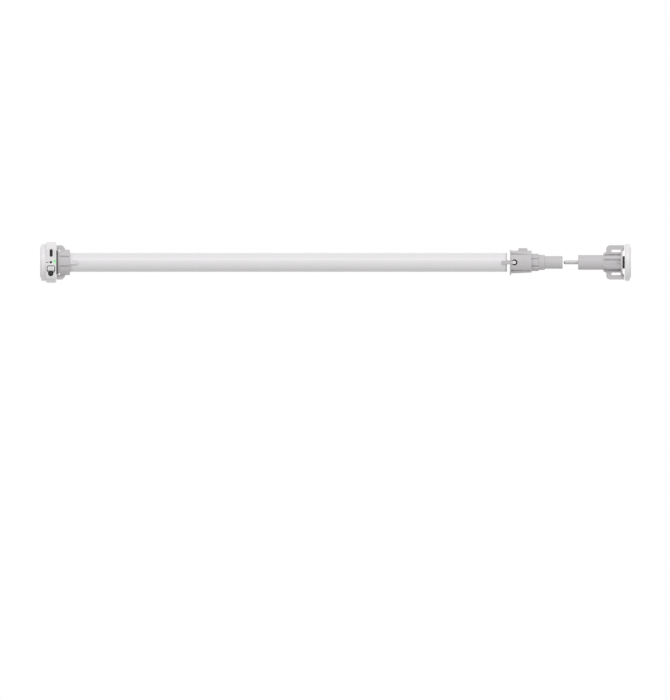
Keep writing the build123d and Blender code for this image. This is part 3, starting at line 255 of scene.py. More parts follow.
def growing_tree(name, *sizes):
    """Geometry Nodes tree with an input for every size, and the sockets that give them."""
    tree = bpy.data.node_groups.new(name, "GeometryNodeTree")
    for label, kind, value in (("Geometry", "Geometry", None), *sizes):
        socket = tree.interface.new_socket(label, in_out="INPUT", socket_type="NodeSocket" + kind)
        if value is not None:
            socket.default_value = value
    tree.interface.new_socket("Geometry", in_out="OUTPUT", socket_type="NodeSocketGeometry")
    return tree, tree.nodes.new("NodeGroupInput").outputs


def vector(tree, x=0.0, y=0.0, z=0.0):
    """Vector socket from three lengths."""
    return step(tree, "ShaderNodeCombineXYZ", ("X", x), ("Y", y), ("Z", z)).outputs[0]


def moved(tree, geometry, offset):
    """Geometry socket moved by an offset."""
    return step(tree, "GeometryNodeTransform", ("Geometry", geometry), ("Translation", offset)).outputs[0]


def cone(tree, sides, foot, top, depth):
    """Geometry socket of a round solid that stands on the origin, by the radius of its foot and its top."""
    return step(tree, "GeometryNodeMeshCone", ("Vertices", sides), ("Radius Bottom", foot),
                ("Radius Top", top), ("Depth", depth)).outputs["Mesh"]


def block(tree, size):
    """Geometry socket of a block round the origin."""
    return step(tree, "GeometryNodeMeshCube", ("Size", size)).outputs["Mesh"]


def hoop(tree, corners, radius):
    """Curve socket of a closed circle."""
    return step(tree, "GeometryNodeCurvePrimitiveCircle", ("Resolution", corners),
                ("Radius", radius)).outputs[0]


def helix(tree, corners, turns, radius, height):
    """Curve socket of a helix along Z."""
    return step(tree, "GeometryNodeCurveSpiral", ("Resolution", corners), ("Rotations", turns),
                ("Start Radius", radius), ("End Radius", radius), ("Height", height)).outputs[0]


def swept(tree, line, outline, capped=True):
    """Geometry socket of an outline swept along a line."""
    return step(tree, "GeometryNodeCurveToMesh", ("Curve", line), ("Profile Curve", outline),
                ("Fill Caps", capped)).outputs[0]


def joined(tree, *parts):
    """Geometry socket of several parts together."""
    whole = step(tree, "GeometryNodeJoinGeometry")
    for part in parts:
        tree.links.new(part, whole.inputs[0])
    return whole.outputs[0]


def coated(tree, geometry, coat):
    """Geometry socket with a material on it."""
    return step(tree, "GeometryNodeSetMaterial", ("Geometry", geometry), ("Material", coat)).outputs[0]


def on_points(tree, points, part, *choices):
    """Geometry socket of a part set on every point and made real."""
    placed = step(tree, "GeometryNodeInstanceOnPoints", ("Points", points), ("Instance", part), *choices)
    return step(tree, "GeometryNodeRealizeInstances", (0, placed.outputs[0])).outputs[0]


def ended(tree, geometry):
    """End a tree with its result."""
    tree.links.new(geometry, tree.nodes.new("NodeGroupOutput").inputs[0])


head_sides, shank_sides, turn_corners, ridge_corners = 32, 16, 18, 4
thread_share, point_share = 0.8, 0.2
point_end = 0.0001
along_x = (0.0, math.pi / 2, 0.0)
cross_screw, screw_in = growing_tree(
    "cross screw", ("Face radius", "Float", 0.0023), ("Rim radius", "Float", 0.00235),
    ("Under radius", "Float", 0.0012), ("Rim depth", "Float", 0.0002), ("Head depth", "Float", 0.0025),
    ("Shank radius", "Float", 0.001), ("Length", "Float", 0.014), ("Thread turns", "Float", 9.0),
    ("Thread height", "Float", 0.0003), ("Recess width", "Float", 0.0005), ("Recess span", "Float", 0.0026),
    ("Recess depth", "Float", 0.0012), ("Finish", "Material", None))
rim = cone(cross_screw, head_sides, screw_in["Face radius"], screw_in["Rim radius"], screw_in["Rim depth"])
under = cone(cross_screw, head_sides, screw_in["Rim radius"], screw_in["Under radius"],
             sums(cross_screw, "SUBTRACT", screw_in["Head depth"], screw_in["Rim depth"]))
head_solid = step(cross_screw, "GeometryNodeMeshBoolean", ("Mesh 2", rim),
                  ("Mesh 2", moved(cross_screw, under, vector(cross_screw, z=screw_in["Rim depth"]))),
                  operation="UNION").outputs["Mesh"]
recess_span, recess_width = screw_in["Recess span"], screw_in["Recess width"]
recess_deep = sums(cross_screw, "MULTIPLY", screw_in["Recess depth"], 2.0)
recess_long = block(cross_screw, vector(cross_screw, recess_span, recess_width, recess_deep))
recess_tall = block(cross_screw, vector(cross_screw, recess_width, recess_span, recess_deep))
cut_head = step(cross_screw, "GeometryNodeMeshBoolean", ("Mesh 1", head_solid), ("Mesh 2", recess_long),
                ("Mesh 2", recess_tall), operation="DIFFERENCE").outputs["Mesh"]
shank_length = sums(cross_screw, "SUBTRACT", screw_in["Length"], screw_in["Head depth"])
thread_length = sums(cross_screw, "MULTIPLY", shank_length, thread_share)
shank = cone(cross_screw, shank_sides, screw_in["Shank radius"], screw_in["Shank radius"], thread_length)
point = cone(cross_screw, shank_sides, screw_in["Shank radius"], point_end,
             sums(cross_screw, "MULTIPLY", shank_length, point_share))
thread = swept(cross_screw, helix(cross_screw, turn_corners, screw_in["Thread turns"],
                                  screw_in["Shank radius"], thread_length),
               hoop(cross_screw, ridge_corners, screw_in["Thread height"]))
shank_start = vector(cross_screw, z=screw_in["Head depth"])
point_start = vector(cross_screw, z=sums(cross_screw, "ADD", screw_in["Head depth"], thread_length))
whole_screw = joined(cross_screw, cut_head, moved(cross_screw, shank, shank_start),
                     moved(cross_screw, point, point_start), moved(cross_screw, thread, shank_start))
real_screws = on_points(cross_screw, screw_in["Geometry"], whole_screw, ("Rotation", along_x))
ended(cross_screw, coated(cross_screw, real_screws, screw_in["Finish"]))
mm = 0.001


def grown(name, tree, sites, body, slot, **sizes):
    """Plain mesh that a Geometry Nodes tree grows on points, given in mm, riding on a body."""
    seed_mesh = bpy.data.meshes.new(name + "_sites")
    seed_mesh.from_pydata([Vector(site) * mm for site in sites], [], [])
    seed = bpy.data.objects.new(name + "_sites", seed_mesh)
    scene.collection.objects.link(seed)
    modifier = seed.modifiers.new("grow", "NODES")
    modifier.node_group = tree
    for item in tree.interface.items_tree:
        label = item.name.replace(" ", "_")
        if item.in_out == "INPUT" and label in sizes:
            modifier[item.identifier] = sizes[label]
    graph = bpy.context.evaluated_depsgraph_get()
    mesh = bpy.data.meshes.new_from_object(seed.evaluated_get(graph))
    seed.modifiers.remove(modifier)
    bpy.data.objects.remove(seed)
    piece = bpy.data.objects.new(name, mesh)
    scene.collection.objects.link(piece)
    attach(piece, body)
    return piece


plate_sites = [(0.02, 0, 16), (0.02, 16, 0), (0.02, 0, -16)]
plate_fixings = grown("plate_fixings", cross_screw, plate_sites, "motor_body", "zinc", Finish=zinc_plate)
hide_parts("plate_screws")
spigot_face, spigot_circle = 16.9, 11
spigot_sites = [(spigot_face, spigot_circle * math.cos(turn), spigot_circle * math.sin(turn))
                for turn in map(math.radians, (60, 180, 300))]
spigot_fixings = grown("spigot_fixings", cross_screw, spigot_sites, "motor_body", "zinc", Face_radius=0.0018,
                       Rim_radius=0.0022, Under_radius=0.0022, Rim_depth=0.0006, Head_depth=0.0018,
                       Length=0.0128, Finish=zinc_plate)
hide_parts("spigot_screws")
sleeve_sites = [(735.72, 0, 0)]
sleeve_fixing = grown("sleeve_fixing", cross_screw, sleeve_sites, "idler_wheel", "zinc", Face_radius=0.0023,
                      Rim_radius=0.0028, Under_radius=0.0028, Rim_depth=0.0006, Head_depth=0.00198,
                      Shank_radius=0.0012, Length=0.0088, Thread_turns=6.0, Recess_span=0.0032,
                      Finish=zinc_plate)
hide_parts("sleeve_screw")


# Head shell: square white moulding with cut corners, which holds the port, button, light and pull lever
# The end plate is screwed on to it, and the walls of its openings are painted near black: painted shade in
# the port opening, the lever's recess, the round socket and the button hole
def ways(tree, place):
    """The three lengths of a vector socket."""
    return step(tree, "ShaderNodeSeparateXYZ", (0, place)).outputs


def vector_sums(tree, operation, *values):
    """Socket with the result of a sum on vectors."""
    outputs = step(tree, "ShaderNodeVectorMath", *enumerate(values), operation=operation).outputs
    return outputs["Value"] if operation == "LENGTH" else outputs[0]


box_mask, box_in, box_out = node_group(
    "inside a box", [("Centre", "Vector", (0.0, 0.0, 0.0)), ("Half", "Vector", (1.0, 1.0, 1.0))],
    [("Mask", "Float")])
box_from = vector_sums(box_mask, "SUBTRACT", place_on(box_mask), box_in["Centre"])
box_past = ways(box_mask, vector_sums(box_mask, "SUBTRACT", vector_sums(box_mask, "ABSOLUTE", box_from),
                                      box_in["Half"]))
box_widest = sums(box_mask, "MAXIMUM", sums(box_mask, "MAXIMUM", box_past[0], box_past[1]), box_past[2])
feed(box_mask, box_out, ("Mask", sums(box_mask, "LESS_THAN", box_widest, 0.0)))

bore_mask, bore_in, bore_out = node_group(
    "inside a bore", [("Face", "Vector", (0.0, 0.0, 0.0)), ("Radius", "Float", 0.001),
                      ("Depth", "Float", 0.005)],
    [("Mask", "Float")])
bore_from = vector_sums(bore_mask, "SUBTRACT", place_on(bore_mask), bore_in["Face"])
bore_x, bore_y, bore_z = ways(bore_mask, bore_from)
bore_reach = vector_sums(bore_mask, "LENGTH", vector(bore_mask, bore_x, bore_z))
bore_near = sums(bore_mask, "LESS_THAN", bore_reach, bore_in["Radius"])
bore_span = sums(bore_mask, "MULTIPLY", sums(bore_mask, "GREATER_THAN", bore_y, 0.0),
                 sums(bore_mask, "LESS_THAN", bore_y, bore_in["Depth"]))
feed(bore_mask, bore_out, ("Mask", sums(bore_mask, "MULTIPLY", bore_near, bore_span)))


def overlaid(material, share, colour):
    """Lay a second colour over a material where the share is 1."""
    tree = material.node_tree
    base = tree.nodes["Principled BSDF"].inputs["Base Color"]
    tree.links.new(mixed(tree, share, base.links[0].from_socket, colour), base)
    return material


def tinted(material, colour, boxes=(), bores=()):
    """Lay a second colour inside boxes, by corners, and bores, by face, radius and depth, in mm."""
    tree = material.node_tree
    masks = []
    for low, high in boxes:
        masks.append(step(tree, "ShaderNodeGroup", ("Centre", (Vector(low) + Vector(high)) * (mm / 2)),
                          ("Half", (Vector(high) - Vector(low)) * (mm / 2)), node_tree=box_mask).outputs[0])
    for face, radius, depth in bores:
        masks.append(step(tree, "ShaderNodeGroup", ("Face", Vector(face) * mm), ("Radius", radius * mm),
                          ("Depth", depth * mm), node_tree=bore_mask).outputs[0])
    inside = masks[0]
    for mask in masks[1:]:
        inside = sums(tree, "MAXIMUM", inside, mask)
    return overlaid(material, inside, (*colour, 1.0))


# Boxes and bores where the white shell is painted near black: painted shade inside its openings
port_opening_shade = ((12.5, -26.18, 7.3), (16.7, -15.0, 17.5))
lever_recess_shade = [((8.5, -25.8, -12.6), (9.75, -15.0, -3.9)), ((18.85, -25.8, -12.6), (20.1, -15.0, -3.9)),
                ((8.5, -25.8, -4.95), (20.1, -15.0, -3.9)), ((8.5, -25.8, -13.8), (10.9, -15.0, -12.6)),
                ((17.1, -25.8, -13.8), (20.1, -15.0, -12.6)), ((12.0, -23.55, -13.7), (16.6, -15.0, -3.9))]
eye_socket_shade = ((14.0, -26.7, -14.6), 3.66, 12.0)
button_hole_shade = ((14.1, -26.7, 0.2), 1.68, 3.5)
head_moulding = tinted(
    surfaced("head moulding", moulded_skin, (0.905, 0.889, 0.902), scale=2600.0, rough=(0.30, 0.40),
             least=0.96, relief=0.3, depth=0.00004),
    (0.03, 0.03, 0.032), boxes=[port_opening_shade, *lever_recess_shade], bores=[eye_socket_shade, button_hole_shade])
finish(head_moulding, "head_shell")


# Side cover: thin white lid that closes the square shell round the end plate, snapped in behind it
# Moulded ring plate with an eight-sided edge, hidden by the plate everywhere but at the four corners
def outward(name, shape, material):
    """Object from a finished shape, with its faces turned outwards."""
    bmesh.ops.recalc_face_normals(shape, faces=shape.faces)
    mesh = bpy.data.meshes.new(name)
    shape.to_mesh(mesh)
    shape.free()
    mesh.materials.append(material)
    piece = bpy.data.objects.new(name, mesh)
    scene.collection.objects.link(piece)
    return piece


cover_half, cover_cut, cover_hole = 24.25, 29.35, 22.0
cover_face, cover_back = 8.3, 8.75
cover_steps = 160
cover_shape = bmesh.new()
cover_rings = []
for plane_x in (cover_face, cover_back):
    for edge in ("outer", "inner"):
        ring = []
        for number in range(cover_steps):
            turn = 2 * math.pi * number / cover_steps
            across, up = abs(math.cos(turn)), abs(math.sin(turn))
            reach = min(cover_half / max(across, up), cover_cut * math.sqrt(2) / (across + up))
            reach = cover_hole if edge == "inner" else reach
            spot = Vector((plane_x, reach * math.cos(turn), reach * math.sin(turn))) * mm
            ring.append(cover_shape.verts.new(spot))
        cover_rings.append(ring)
front_outer, front_inner, back_outer, back_inner = cover_rings
for first, second in ((front_outer, front_inner), (back_inner, back_outer), (back_outer, front_outer),
                      (front_inner, back_inner)):
    for number in range(cover_steps):
        after = (number + 1) % cover_steps
        cover_shape.faces.new((first[number], first[after], second[after], second[number]))
side_cover = outward("side_cover", cover_shape, white_moulding)
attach(side_cover, "motor_body")

# Index mark: short dark bar beside the reset button, from the head's bevel on to its face
# A separate sliver of grey polymer, pressed into the shell, where it stands 0.03 mm proud
mark_outline = [(8.02, -26.13), (9.9, -26.83), (11.2, -26.83), (11.2, -26.5), (8.02, -25.9)]
mark_low, mark_high = -0.4, 0.5
mark_moulding = surfaced("mark moulding", moulded_skin, (0.10, 0.10, 0.105), scale=2600.0,
                         rough=(0.35, 0.45), least=0.9, relief=0.1, depth=0.00003)
mark_shape = bmesh.new()
mark_foot = [mark_shape.verts.new((x * mm, y * mm, mark_low * mm)) for x, y in mark_outline]
mark_top = [mark_shape.verts.new((x * mm, y * mm, mark_high * mm)) for x, y in mark_outline]
mark_shape.faces.new(mark_foot)
mark_shape.faces.new(mark_top)
for number in range(len(mark_outline)):
    before = number - 1
    mark_shape.faces.new((mark_foot[before], mark_foot[number], mark_top[number], mark_top[before]))
index_mark = outward("index_mark", mark_shape, mark_moulding)
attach(index_mark, "motor_body")

# Charging port: deep-drawn shell in black nickel on a small board, with a moulded tongue in its middle
# The tongue carries two rows of gold contacts, stamped strips that are laid into it
# Inside the shell's mouth the black is darkened further, as painted shade in the deep slot; the tongue's dark
# grey is its own colour
shell_mouth_shade = ((13.26, -25.42, 8.2), (15.94, -18.0, 16.6))
tongue = ((14.2, -24.4, 9.0), (15.0, -18.5, 15.8))
port_finish = tinted(
    surfaced("black nickel shell", plated_metal, (0.055, 0.055, 0.06), scale=4000.0, rough=(0.30, 0.42),
             least=0.85, relief=0.1, depth=0.00002),
    (0.012, 0.012, 0.013), boxes=[shell_mouth_shade])
tinted(port_finish, (0.07, 0.07, 0.075), boxes=[tongue])
finish(port_finish, "usb_port")
gold = surfaced("gold contacts", plated_metal, (0.93, 0.68, 0.30), scale=5000.0, rough=(0.18, 0.26),
                least=0.9, relief=0.05, depth=0.00001, Metallic=1.0)
strip, strip_in = growing_tree("contact strip", ("Size", "Vector", (0.00003, 0.0016, 0.00026)),
                               ("Finish", "Material", None))
real_strips = on_points(strip, strip_in["Geometry"], block(strip, strip_in["Size"]))
ended(strip, coated(strip, real_strips, strip_in["Finish"]))
tongue_x, tongue_half, contact_y, contact_middle = 14.6, 0.345, -23.2, 12.4
contact_pitch, contact_count = 0.5, 12
contact_sites = [(tongue_x + side * tongue_half, contact_y,
                  contact_middle + contact_pitch * (number - (contact_count - 1) / 2))
                 for side in (-1, 1) for number in range(contact_count)]
grown("port_contacts", strip, contact_sites, "motor_body", "brass", Finish=gold)

# Reset button and the two switches: black moulded plunger in a tight hole, over a sealed dome switch
# Matt polymer, darker than the chassis; the second switch stands under the lever's foot
black_moulding = surfaced("black moulding", moulded_skin, (0.02, 0.02, 0.021), scale=2600.0,
                          rough=(0.42, 0.55), least=0.7, relief=0.15, depth=0.00004)
finish(black_moulding, "reset_button", "reset_switch", "lever_switch")

# Status light: clear light pipe lit from behind by a green lamp, brighter in its upper half
# Cast polymer with a polished face; its glow fades into the pale lower end
lens_pale, lens_green = (0.42, 0.75, 0.46, 1.0), (0.10, 0.62, 0.16, 1.0)
glow_foot, glow_top = -0.0012, 0.0014
glow_strength = 0.55
lens, lens_tree, lens_inputs = blank("lit lens")
lens_place = place_on(lens_tree)
lens_share = step(lens_tree, "ShaderNodeMapRange", ("Value", ways(lens_tree, lens_place)[2]),
                  ("From Min", glow_foot), ("From Max", glow_top)).outputs[0]
lens_glow = mixed(lens_tree, lens_share, lens_pale, lens_green)
lens_grain = cloud(lens_tree, lens_place, scale=1800.0, detail=2.0)
lens_rough = between(lens_tree, lens_grain, least=0.08, most=0.18)
feed(lens_tree, lens_inputs, ("Emission Color", lens_glow), ("Base Color", lens_glow),
     ("Roughness", lens_rough), ("Emission Strength", glow_strength))
finish(lens, "status_lens")

# Pull lever: white slider with three grip grooves, and a hook under it that stands in the round socket
# Moulded in one piece of white polymer; the hook's end, deep in the socket, is painted dark grey as painted
# shade
socket_hook_shade = ((9.0, -27.0, -16.0), (19.5, -11.0, -10.9))
lever_moulding = tinted(
    surfaced("lever moulding", moulded_skin, (0.905, 0.889, 0.902), scale=2600.0, rough=(0.28, 0.38),
             least=0.96, relief=0.3, depth=0.00004),
    (0.12, 0.12, 0.125), boxes=[socket_hook_shade])
finish(lever_moulding, "pull_lever")

# Springs: hard-drawn wire with a faint blue-grey skin, wound cold with a closed coil at each end
# One returns the lever and one pushes the idler's pin out
# A bent ring of the same wire holds the crown
spring_wire = surfaced("spring wire", plated_metal, (0.50, 0.50, 0.53), scale=2500.0, rough=(0.25, 0.42),
                       least=0.7, relief=0.12, depth=0.00003, Metallic=1.0)
finish(spring_wire, "crown_clip")
wound_spring, wound_in = growing_tree(
    "wound spring", ("Coil radius", "Float", 0.0013), ("Wire radius", "Float", 0.0002),
    ("Length", "Float", 0.0088), ("Turns", "Float", 4.0), ("Tilt", "Vector", (0.0, 0.0, 0.0)),
    ("Finish", "Material", None))
wire_sides, coil_corners = 10, 32
wire_round = hoop(wound_spring, wire_sides, wound_in["Wire radius"])
wound_rise = sums(wound_spring, "SUBTRACT", wound_in["Length"],
                  sums(wound_spring, "MULTIPLY", wound_in["Wire radius"], 2.0))
wound_line = helix(wound_spring, coil_corners, wound_in["Turns"], wound_in["Coil radius"], wound_rise)
wound_wire = swept(wound_spring, wound_line, wire_round)
closed_line = hoop(wound_spring, coil_corners, wound_in["Coil radius"])
closed_wire = swept(wound_spring, closed_line, wire_round, capped=False)
foot_height = vector(wound_spring, z=wound_in["Wire radius"])
top_height = vector(wound_spring, z=sums(wound_spring, "SUBTRACT", wound_in["Length"],
                                         wound_in["Wire radius"]))
whole_spring = joined(wound_spring, moved(wound_spring, wound_wire, foot_height),
                      moved(wound_spring, closed_wire, foot_height),
                      moved(wound_spring, closed_wire, top_height))
real_springs = on_points(wound_spring, wound_in["Geometry"], whole_spring, ("Rotation", wound_in["Tilt"]))
ended(wound_spring, coated(wound_spring, real_springs, wound_in["Finish"]))
lever_coil_foot, lever_coil_length, lever_travel = -19.55, 8.8, 2.5
lever_coil = grown("lever_coil", wound_spring, [(14.3, -13.9, lever_coil_foot)], "motor_body", "spring_steel",
                   Coil_radius=0.0013, Wire_radius=0.0002, Length=lever_coil_length * mm, Turns=4.0,
                   Finish=spring_wire)
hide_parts("lever_spring")
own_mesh(lever_coil)
pin_coil_start, pin_coil_length, pin_travel = 714.68, 22.9, 8.0
pin_coil = grown("pin_coil", wound_spring, [(pin_coil_start, 0, 0)], "idler_wheel", "spring_steel",
                 Coil_radius=0.0044, Wire_radius=0.00045, Length=pin_coil_length * mm, Turns=5.0,
                 Tilt=along_x, Finish=spring_wire)
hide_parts("idler_spring")
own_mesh(pin_coil)

# Spigot and idler hub: dark moulded chassis parts that show as a narrow neck behind each white cover; their
# dark grey is partly the polymer's own and partly painted shade of the narrow gaps
# Glass-filled polymer, matt, with a coarser skin than the covers; the spigot is screwed to the head
neck_moulding = surfaced("neck moulding", moulded_skin, (0.26, 0.258, 0.263), scale=1800.0,
                         rough=(0.42, 0.56), least=0.85, relief=0.2, depth=0.00005, Specular_IOR_Level=0.35)
finish(neck_moulding, "head_spigot")
hub_moulding = surfaced("hub moulding", moulded_skin, (0.115, 0.112, 0.115), scale=1800.0,
                        rough=(0.42, 0.56), least=0.8, relief=0.2, depth=0.00005, Specular_IOR_Level=0.35)
finish(hub_moulding, "idler_hub")

# Cell cradle, board guides, motor end bell and shaft adapter: dark inner mouldings of the same polymer
# Cradle and guides are pushed into the tube, the bell closes the motor, the adapter sits on the shaft's flat
dark_moulding = surfaced("dark moulding", moulded_skin, (0.05, 0.05, 0.053), scale=1800.0,
                         rough=(0.42, 0.55), least=0.8, relief=0.2, depth=0.00005)
finish(dark_moulding, "cell_cradle", "board_guides", "motor_end_bell", "shaft_adapter")

# Head crown, idler crown and tube end: grey mouldings, the crowns turning freely inside the roller tube
# Matt polymer with faint flow lines along the axis; the head crown's tongue, running out over the tube, is
# coloured paler
crown_tongue = ((39.35, -16.0, -4.0), (51.0, -11.0, 4.0))
grey_moulding = tinted(
    surfaced("grey moulding", moulded_skin, (0.655, 0.638, 0.651), scale=2200.0, rough=(0.44, 0.56),
             least=0.95, relief=0.4, depth=0.00005, Specular_IOR_Level=0.3),
    (0.79, 0.772, 0.786), boxes=[crown_tongue])
finish(grey_moulding, "crown", "idler_crown", "end_cap")

# Drive wheel: moulding that turns the roller, keyed on the adapter, with a collet that grips the nose
# The same grey polymer as the crowns; inside the well and the round hole for the release clip it is painted
# near black, painted shade in the deep hollows
clip_well_shade = ((618.5, -14.4, -3.95), (628.3, -9.0, 3.95))
clip_hole_shade = ((624.3, -15.6, 0.0), 3.93, 6.5)
wheel_moulding = tinted(
    surfaced("wheel moulding", moulded_skin, (0.655, 0.638, 0.651), scale=2200.0, rough=(0.44, 0.56),
             least=0.95, relief=0.4, depth=0.00005, Specular_IOR_Level=0.3),
    (0.012, 0.012, 0.013), boxes=[clip_well_shade], bores=[clip_hole_shade])
finish(wheel_moulding, "drive_wheel")

# Release clip: grey lever with a tongue over the tube's end and a round button, on a pivot in the wheel
# Moulded in a slightly darker, smoother polymer; the nub on its button is pale
button_nub = ((622.15, -16.0, -2.3), (626.5, -14.5, 2.3))
clip_moulding = tinted(
    surfaced("clip moulding", moulded_skin, (0.605, 0.590, 0.602), scale=2200.0, rough=(0.38, 0.48),
             least=0.96, relief=0.15, depth=0.00004),
    (0.88, 0.88, 0.88), boxes=[button_nub])
finish(clip_moulding, "wheel_clip")

# Nose and idler sleeve: plain round mouldings, the nose held in the wheel's collet
# The same grey polymer, a little smoother than the crowns; a screw inside the sleeve holds it to its crown
light_moulding = surfaced("light moulding", moulded_skin, (0.655, 0.638, 0.651), scale=2200.0,
                          rough=(0.42, 0.52), least=0.96, relief=0.36, depth=0.00005,
                          Specular_IOR_Level=0.3)
finish(light_moulding, "nose_socket", "idler_sleeve")

# Motor tube: drawn aluminium tube with a smooth white powder coat
# The coat has a soft orange peel and a satin gloss
white_coat = surfaced("white coat", moulded_skin, (0.882, 0.866, 0.880), scale=900.0, rough=(0.28, 0.36),
                      least=0.97, relief=0.22, depth=0.00006)
finish(white_coat, "motor_tube")

# Battery cells: four round cells in blue shrink wrap, welded in series with nickel straps
# The wrap is glossy and slightly wrinkled, and leaves a bare steel rim at each end
# The radio's shield is folded from the same nickel-plated sheet
cell_first, cell_pitch = 0.052, 0.066
wrap_start, wrap_end = 0.018, 0.962
bare_steel = (0.62, 0.62, 0.63, 1.0)
wrap = surfaced("cell wrap", moulded_skin, (0.05, 0.16, 0.42), scale=500.0, rough=(0.18, 0.32), least=0.85,
                relief=0.25, depth=0.0001)
wrap_tree = wrap.node_tree
wrap_from = sums(wrap_tree, "SUBTRACT", ways(wrap_tree, place_on(wrap_tree))[0], cell_first)
wrap_along = sums(wrap_tree, "FRACT", sums(wrap_tree, "DIVIDE", wrap_from, cell_pitch))
wrap_bare = sums(wrap_tree, "MAXIMUM", sums(wrap_tree, "LESS_THAN", wrap_along, wrap_start),
                 sums(wrap_tree, "GREATER_THAN", wrap_along, wrap_end))
overlaid(wrap, wrap_bare, bare_steel)
feed(wrap_tree, wrap_tree.nodes["Principled BSDF"].inputs, ("Metallic", wrap_bare))
finish(wrap, "battery_cells")
nickel_plate = surfaced("nickel plate", plated_metal, (0.70, 0.67, 0.61), scale=2600.0, rough=(0.22, 0.36),
                        least=0.8, relief=0.08, depth=0.00003, Metallic=1.0)
finish(nickel_plate, "cell_straps", "radio_shield")


# Circuit boards: glass-fibre boards under a green mask, with copper runs that show through as paler lines
# The long one lies in the tube between its guides, and the two small ones stand across the axis
mask_green, mask_shade = (0.012, 0.11, 0.045, 1.0), (0.010, 0.09, 0.038, 1.0)
copper_green = (0.03, 0.22, 0.085, 1.0)


def board_mask(name, first, second):
    """Material of a masked board whose copper runs follow two of the axes, by number."""
    material, tree, inputs = blank(name)
    place = place_on(tree)
    axes = ways(tree, place)
    runs = step(tree, "ShaderNodeTexBrick", ("Vector", vector(tree, axes[first], axes[second])),
                ("Scale", 420.0), ("Mortar Size", 0.045), ("Brick Width", 1.7), ("Row Height", 0.5),
                ("Color1", mask_green), ("Color2", mask_shade), ("Mortar", copper_green)).outputs
    bump = step(tree, "ShaderNodeBump", ("Strength", 0.4), ("Distance", 0.00004), ("Height", runs["Fac"]))
    feed(tree, inputs, ("Base Color", runs["Color"]), ("Normal", bump.outputs["Normal"]),
         ("Roughness", between(tree, cloud(tree, place, scale=300.0, detail=3.0), least=0.22, most=0.42)))
    return material


finish(board_mask("long board", 0, 1), "control_board")
finish(board_mask("cross board", 2, 1), "port_board", "hall_board")

# Board parts: a moulded chip, a ferrite coil, two capacitors and an ivory connector, in that order along X
# Small soldered parts are set in rows between them, some places left empty, grown from a fixed seed
coil_box = ((378.0, -8.0, 0.5), (388.0, 8.0, 8.0))
capacitor_box = ((390.0, -9.0, 0.5), (412.0, 9.0, 8.0))
connector_box = ((414.0, -9.0, 0.5), (428.0, 9.0, 8.0))
parts_finish = surfaced("board parts", moulded_skin, (0.03, 0.03, 0.032), scale=2400.0, rough=(0.35, 0.5),
                        least=0.8, relief=0.15, depth=0.00004)
for colour, box in (((0.10, 0.085, 0.075), coil_box), ((0.04, 0.05, 0.12), capacitor_box),
                    ((0.72, 0.68, 0.56), connector_box)):
    tinted(parts_finish, colour, boxes=[box])
finish(parts_finish, "board_components")
solder = surfaced("solder", plated_metal, (0.78, 0.78, 0.80), scale=3000.0, rough=(0.2, 0.35), least=0.8,
                  relief=0.1, depth=0.00002, Metallic=1.0)
small_part, small_in = growing_tree(
    "small part", ("Body", "Vector", (0.0010, 0.0008, 0.00045)),
    ("End", "Vector", (0.00028, 0.00084, 0.00049)), ("Kept share", "Float", 0.7), ("Seed", "Int", 7),
    ("Body finish", "Material", None), ("End finish", "Material", None))
end_reach = 0.00062
small_body = coated(small_part, block(small_part, small_in["Body"]), small_in["Body finish"])
small_end = coated(small_part, block(small_part, small_in["End"]), small_in["End finish"])
small_whole = joined(small_part, small_body, moved(small_part, small_end, (end_reach, 0.0, 0.0)),
                     moved(small_part, small_end, (-end_reach, 0.0, 0.0)))
small_kept = step(small_part, "FunctionNodeRandomValue", ("Probability", small_in["Kept share"]),
                  ("Seed", small_in["Seed"]), data_type="BOOLEAN")
ended(small_part, on_points(small_part, small_in["Geometry"], small_whole,
                            ("Selection", small_kept.outputs["Value"])))
parts_level, edge_rows, cross_rows = 0.83, (-8.2, 8.2), (-5.4, -3.6, -1.8, 0, 1.8, 3.6, 5.4)
small_sites = [(x, y, parts_level) for x in range(328, 416, 3) for y in edge_rows]
small_sites += [(x, y, parts_level) for x in (330, 333, 336, 362, 365, 391, 394) for y in cross_rows]
grown("board_smalls", small_part, small_sites, "motor_body", "components", Seed=7, Body_finish=black_moulding,
      End_finish=solder)

# Motor can and brake housing: deep-drawn steel under a bright zinc plate, rolled shut over the end bell
# The plate keeps a soft spangle and dulls a little in patches
can_plate = surfaced("can plate", plated_metal, (0.70, 0.71, 0.73), scale=1400.0, rough=(0.26, 0.44),
                     least=0.75, relief=0.12, depth=0.00004, Metallic=1.0)
finish(can_plate, "motor_can", "brake_housing")

# Magnets: two pressed ferrite arcs glued in the can, and a small ring magnet for the position sensor
# Dark, porous and matt, ground on their faces
ferrite = surfaced("ferrite", plated_metal, (0.085, 0.085, 0.09), scale=3500.0, rough=(0.45, 0.62),
                   least=0.6, relief=0.25, depth=0.00004)
finish(ferrite, "motor_magnets", "encoder_magnet")


# Rotor: five-pole stack of steel sheets with enamelled copper wound round its poles
# Sheet edges show as fine rings along the axis; the copper lies deeper, in lines of wire
def turned_rings():
    """Shader group of a turned or stacked surface: fine rings that follow X alone."""
    group, start, end, place = surface_group("turned rings")
    rings = cloud(group, vector(group, ways(group, place)[0]), scale=start["Scale"], detail=4.0)
    both = sums(group, "ADD", rings, cloud(group, place, scale=200.0, detail=3.0))
    shaded(group, start, end, sums(group, "MULTIPLY", both, 0.5), rings, rings)
    return group


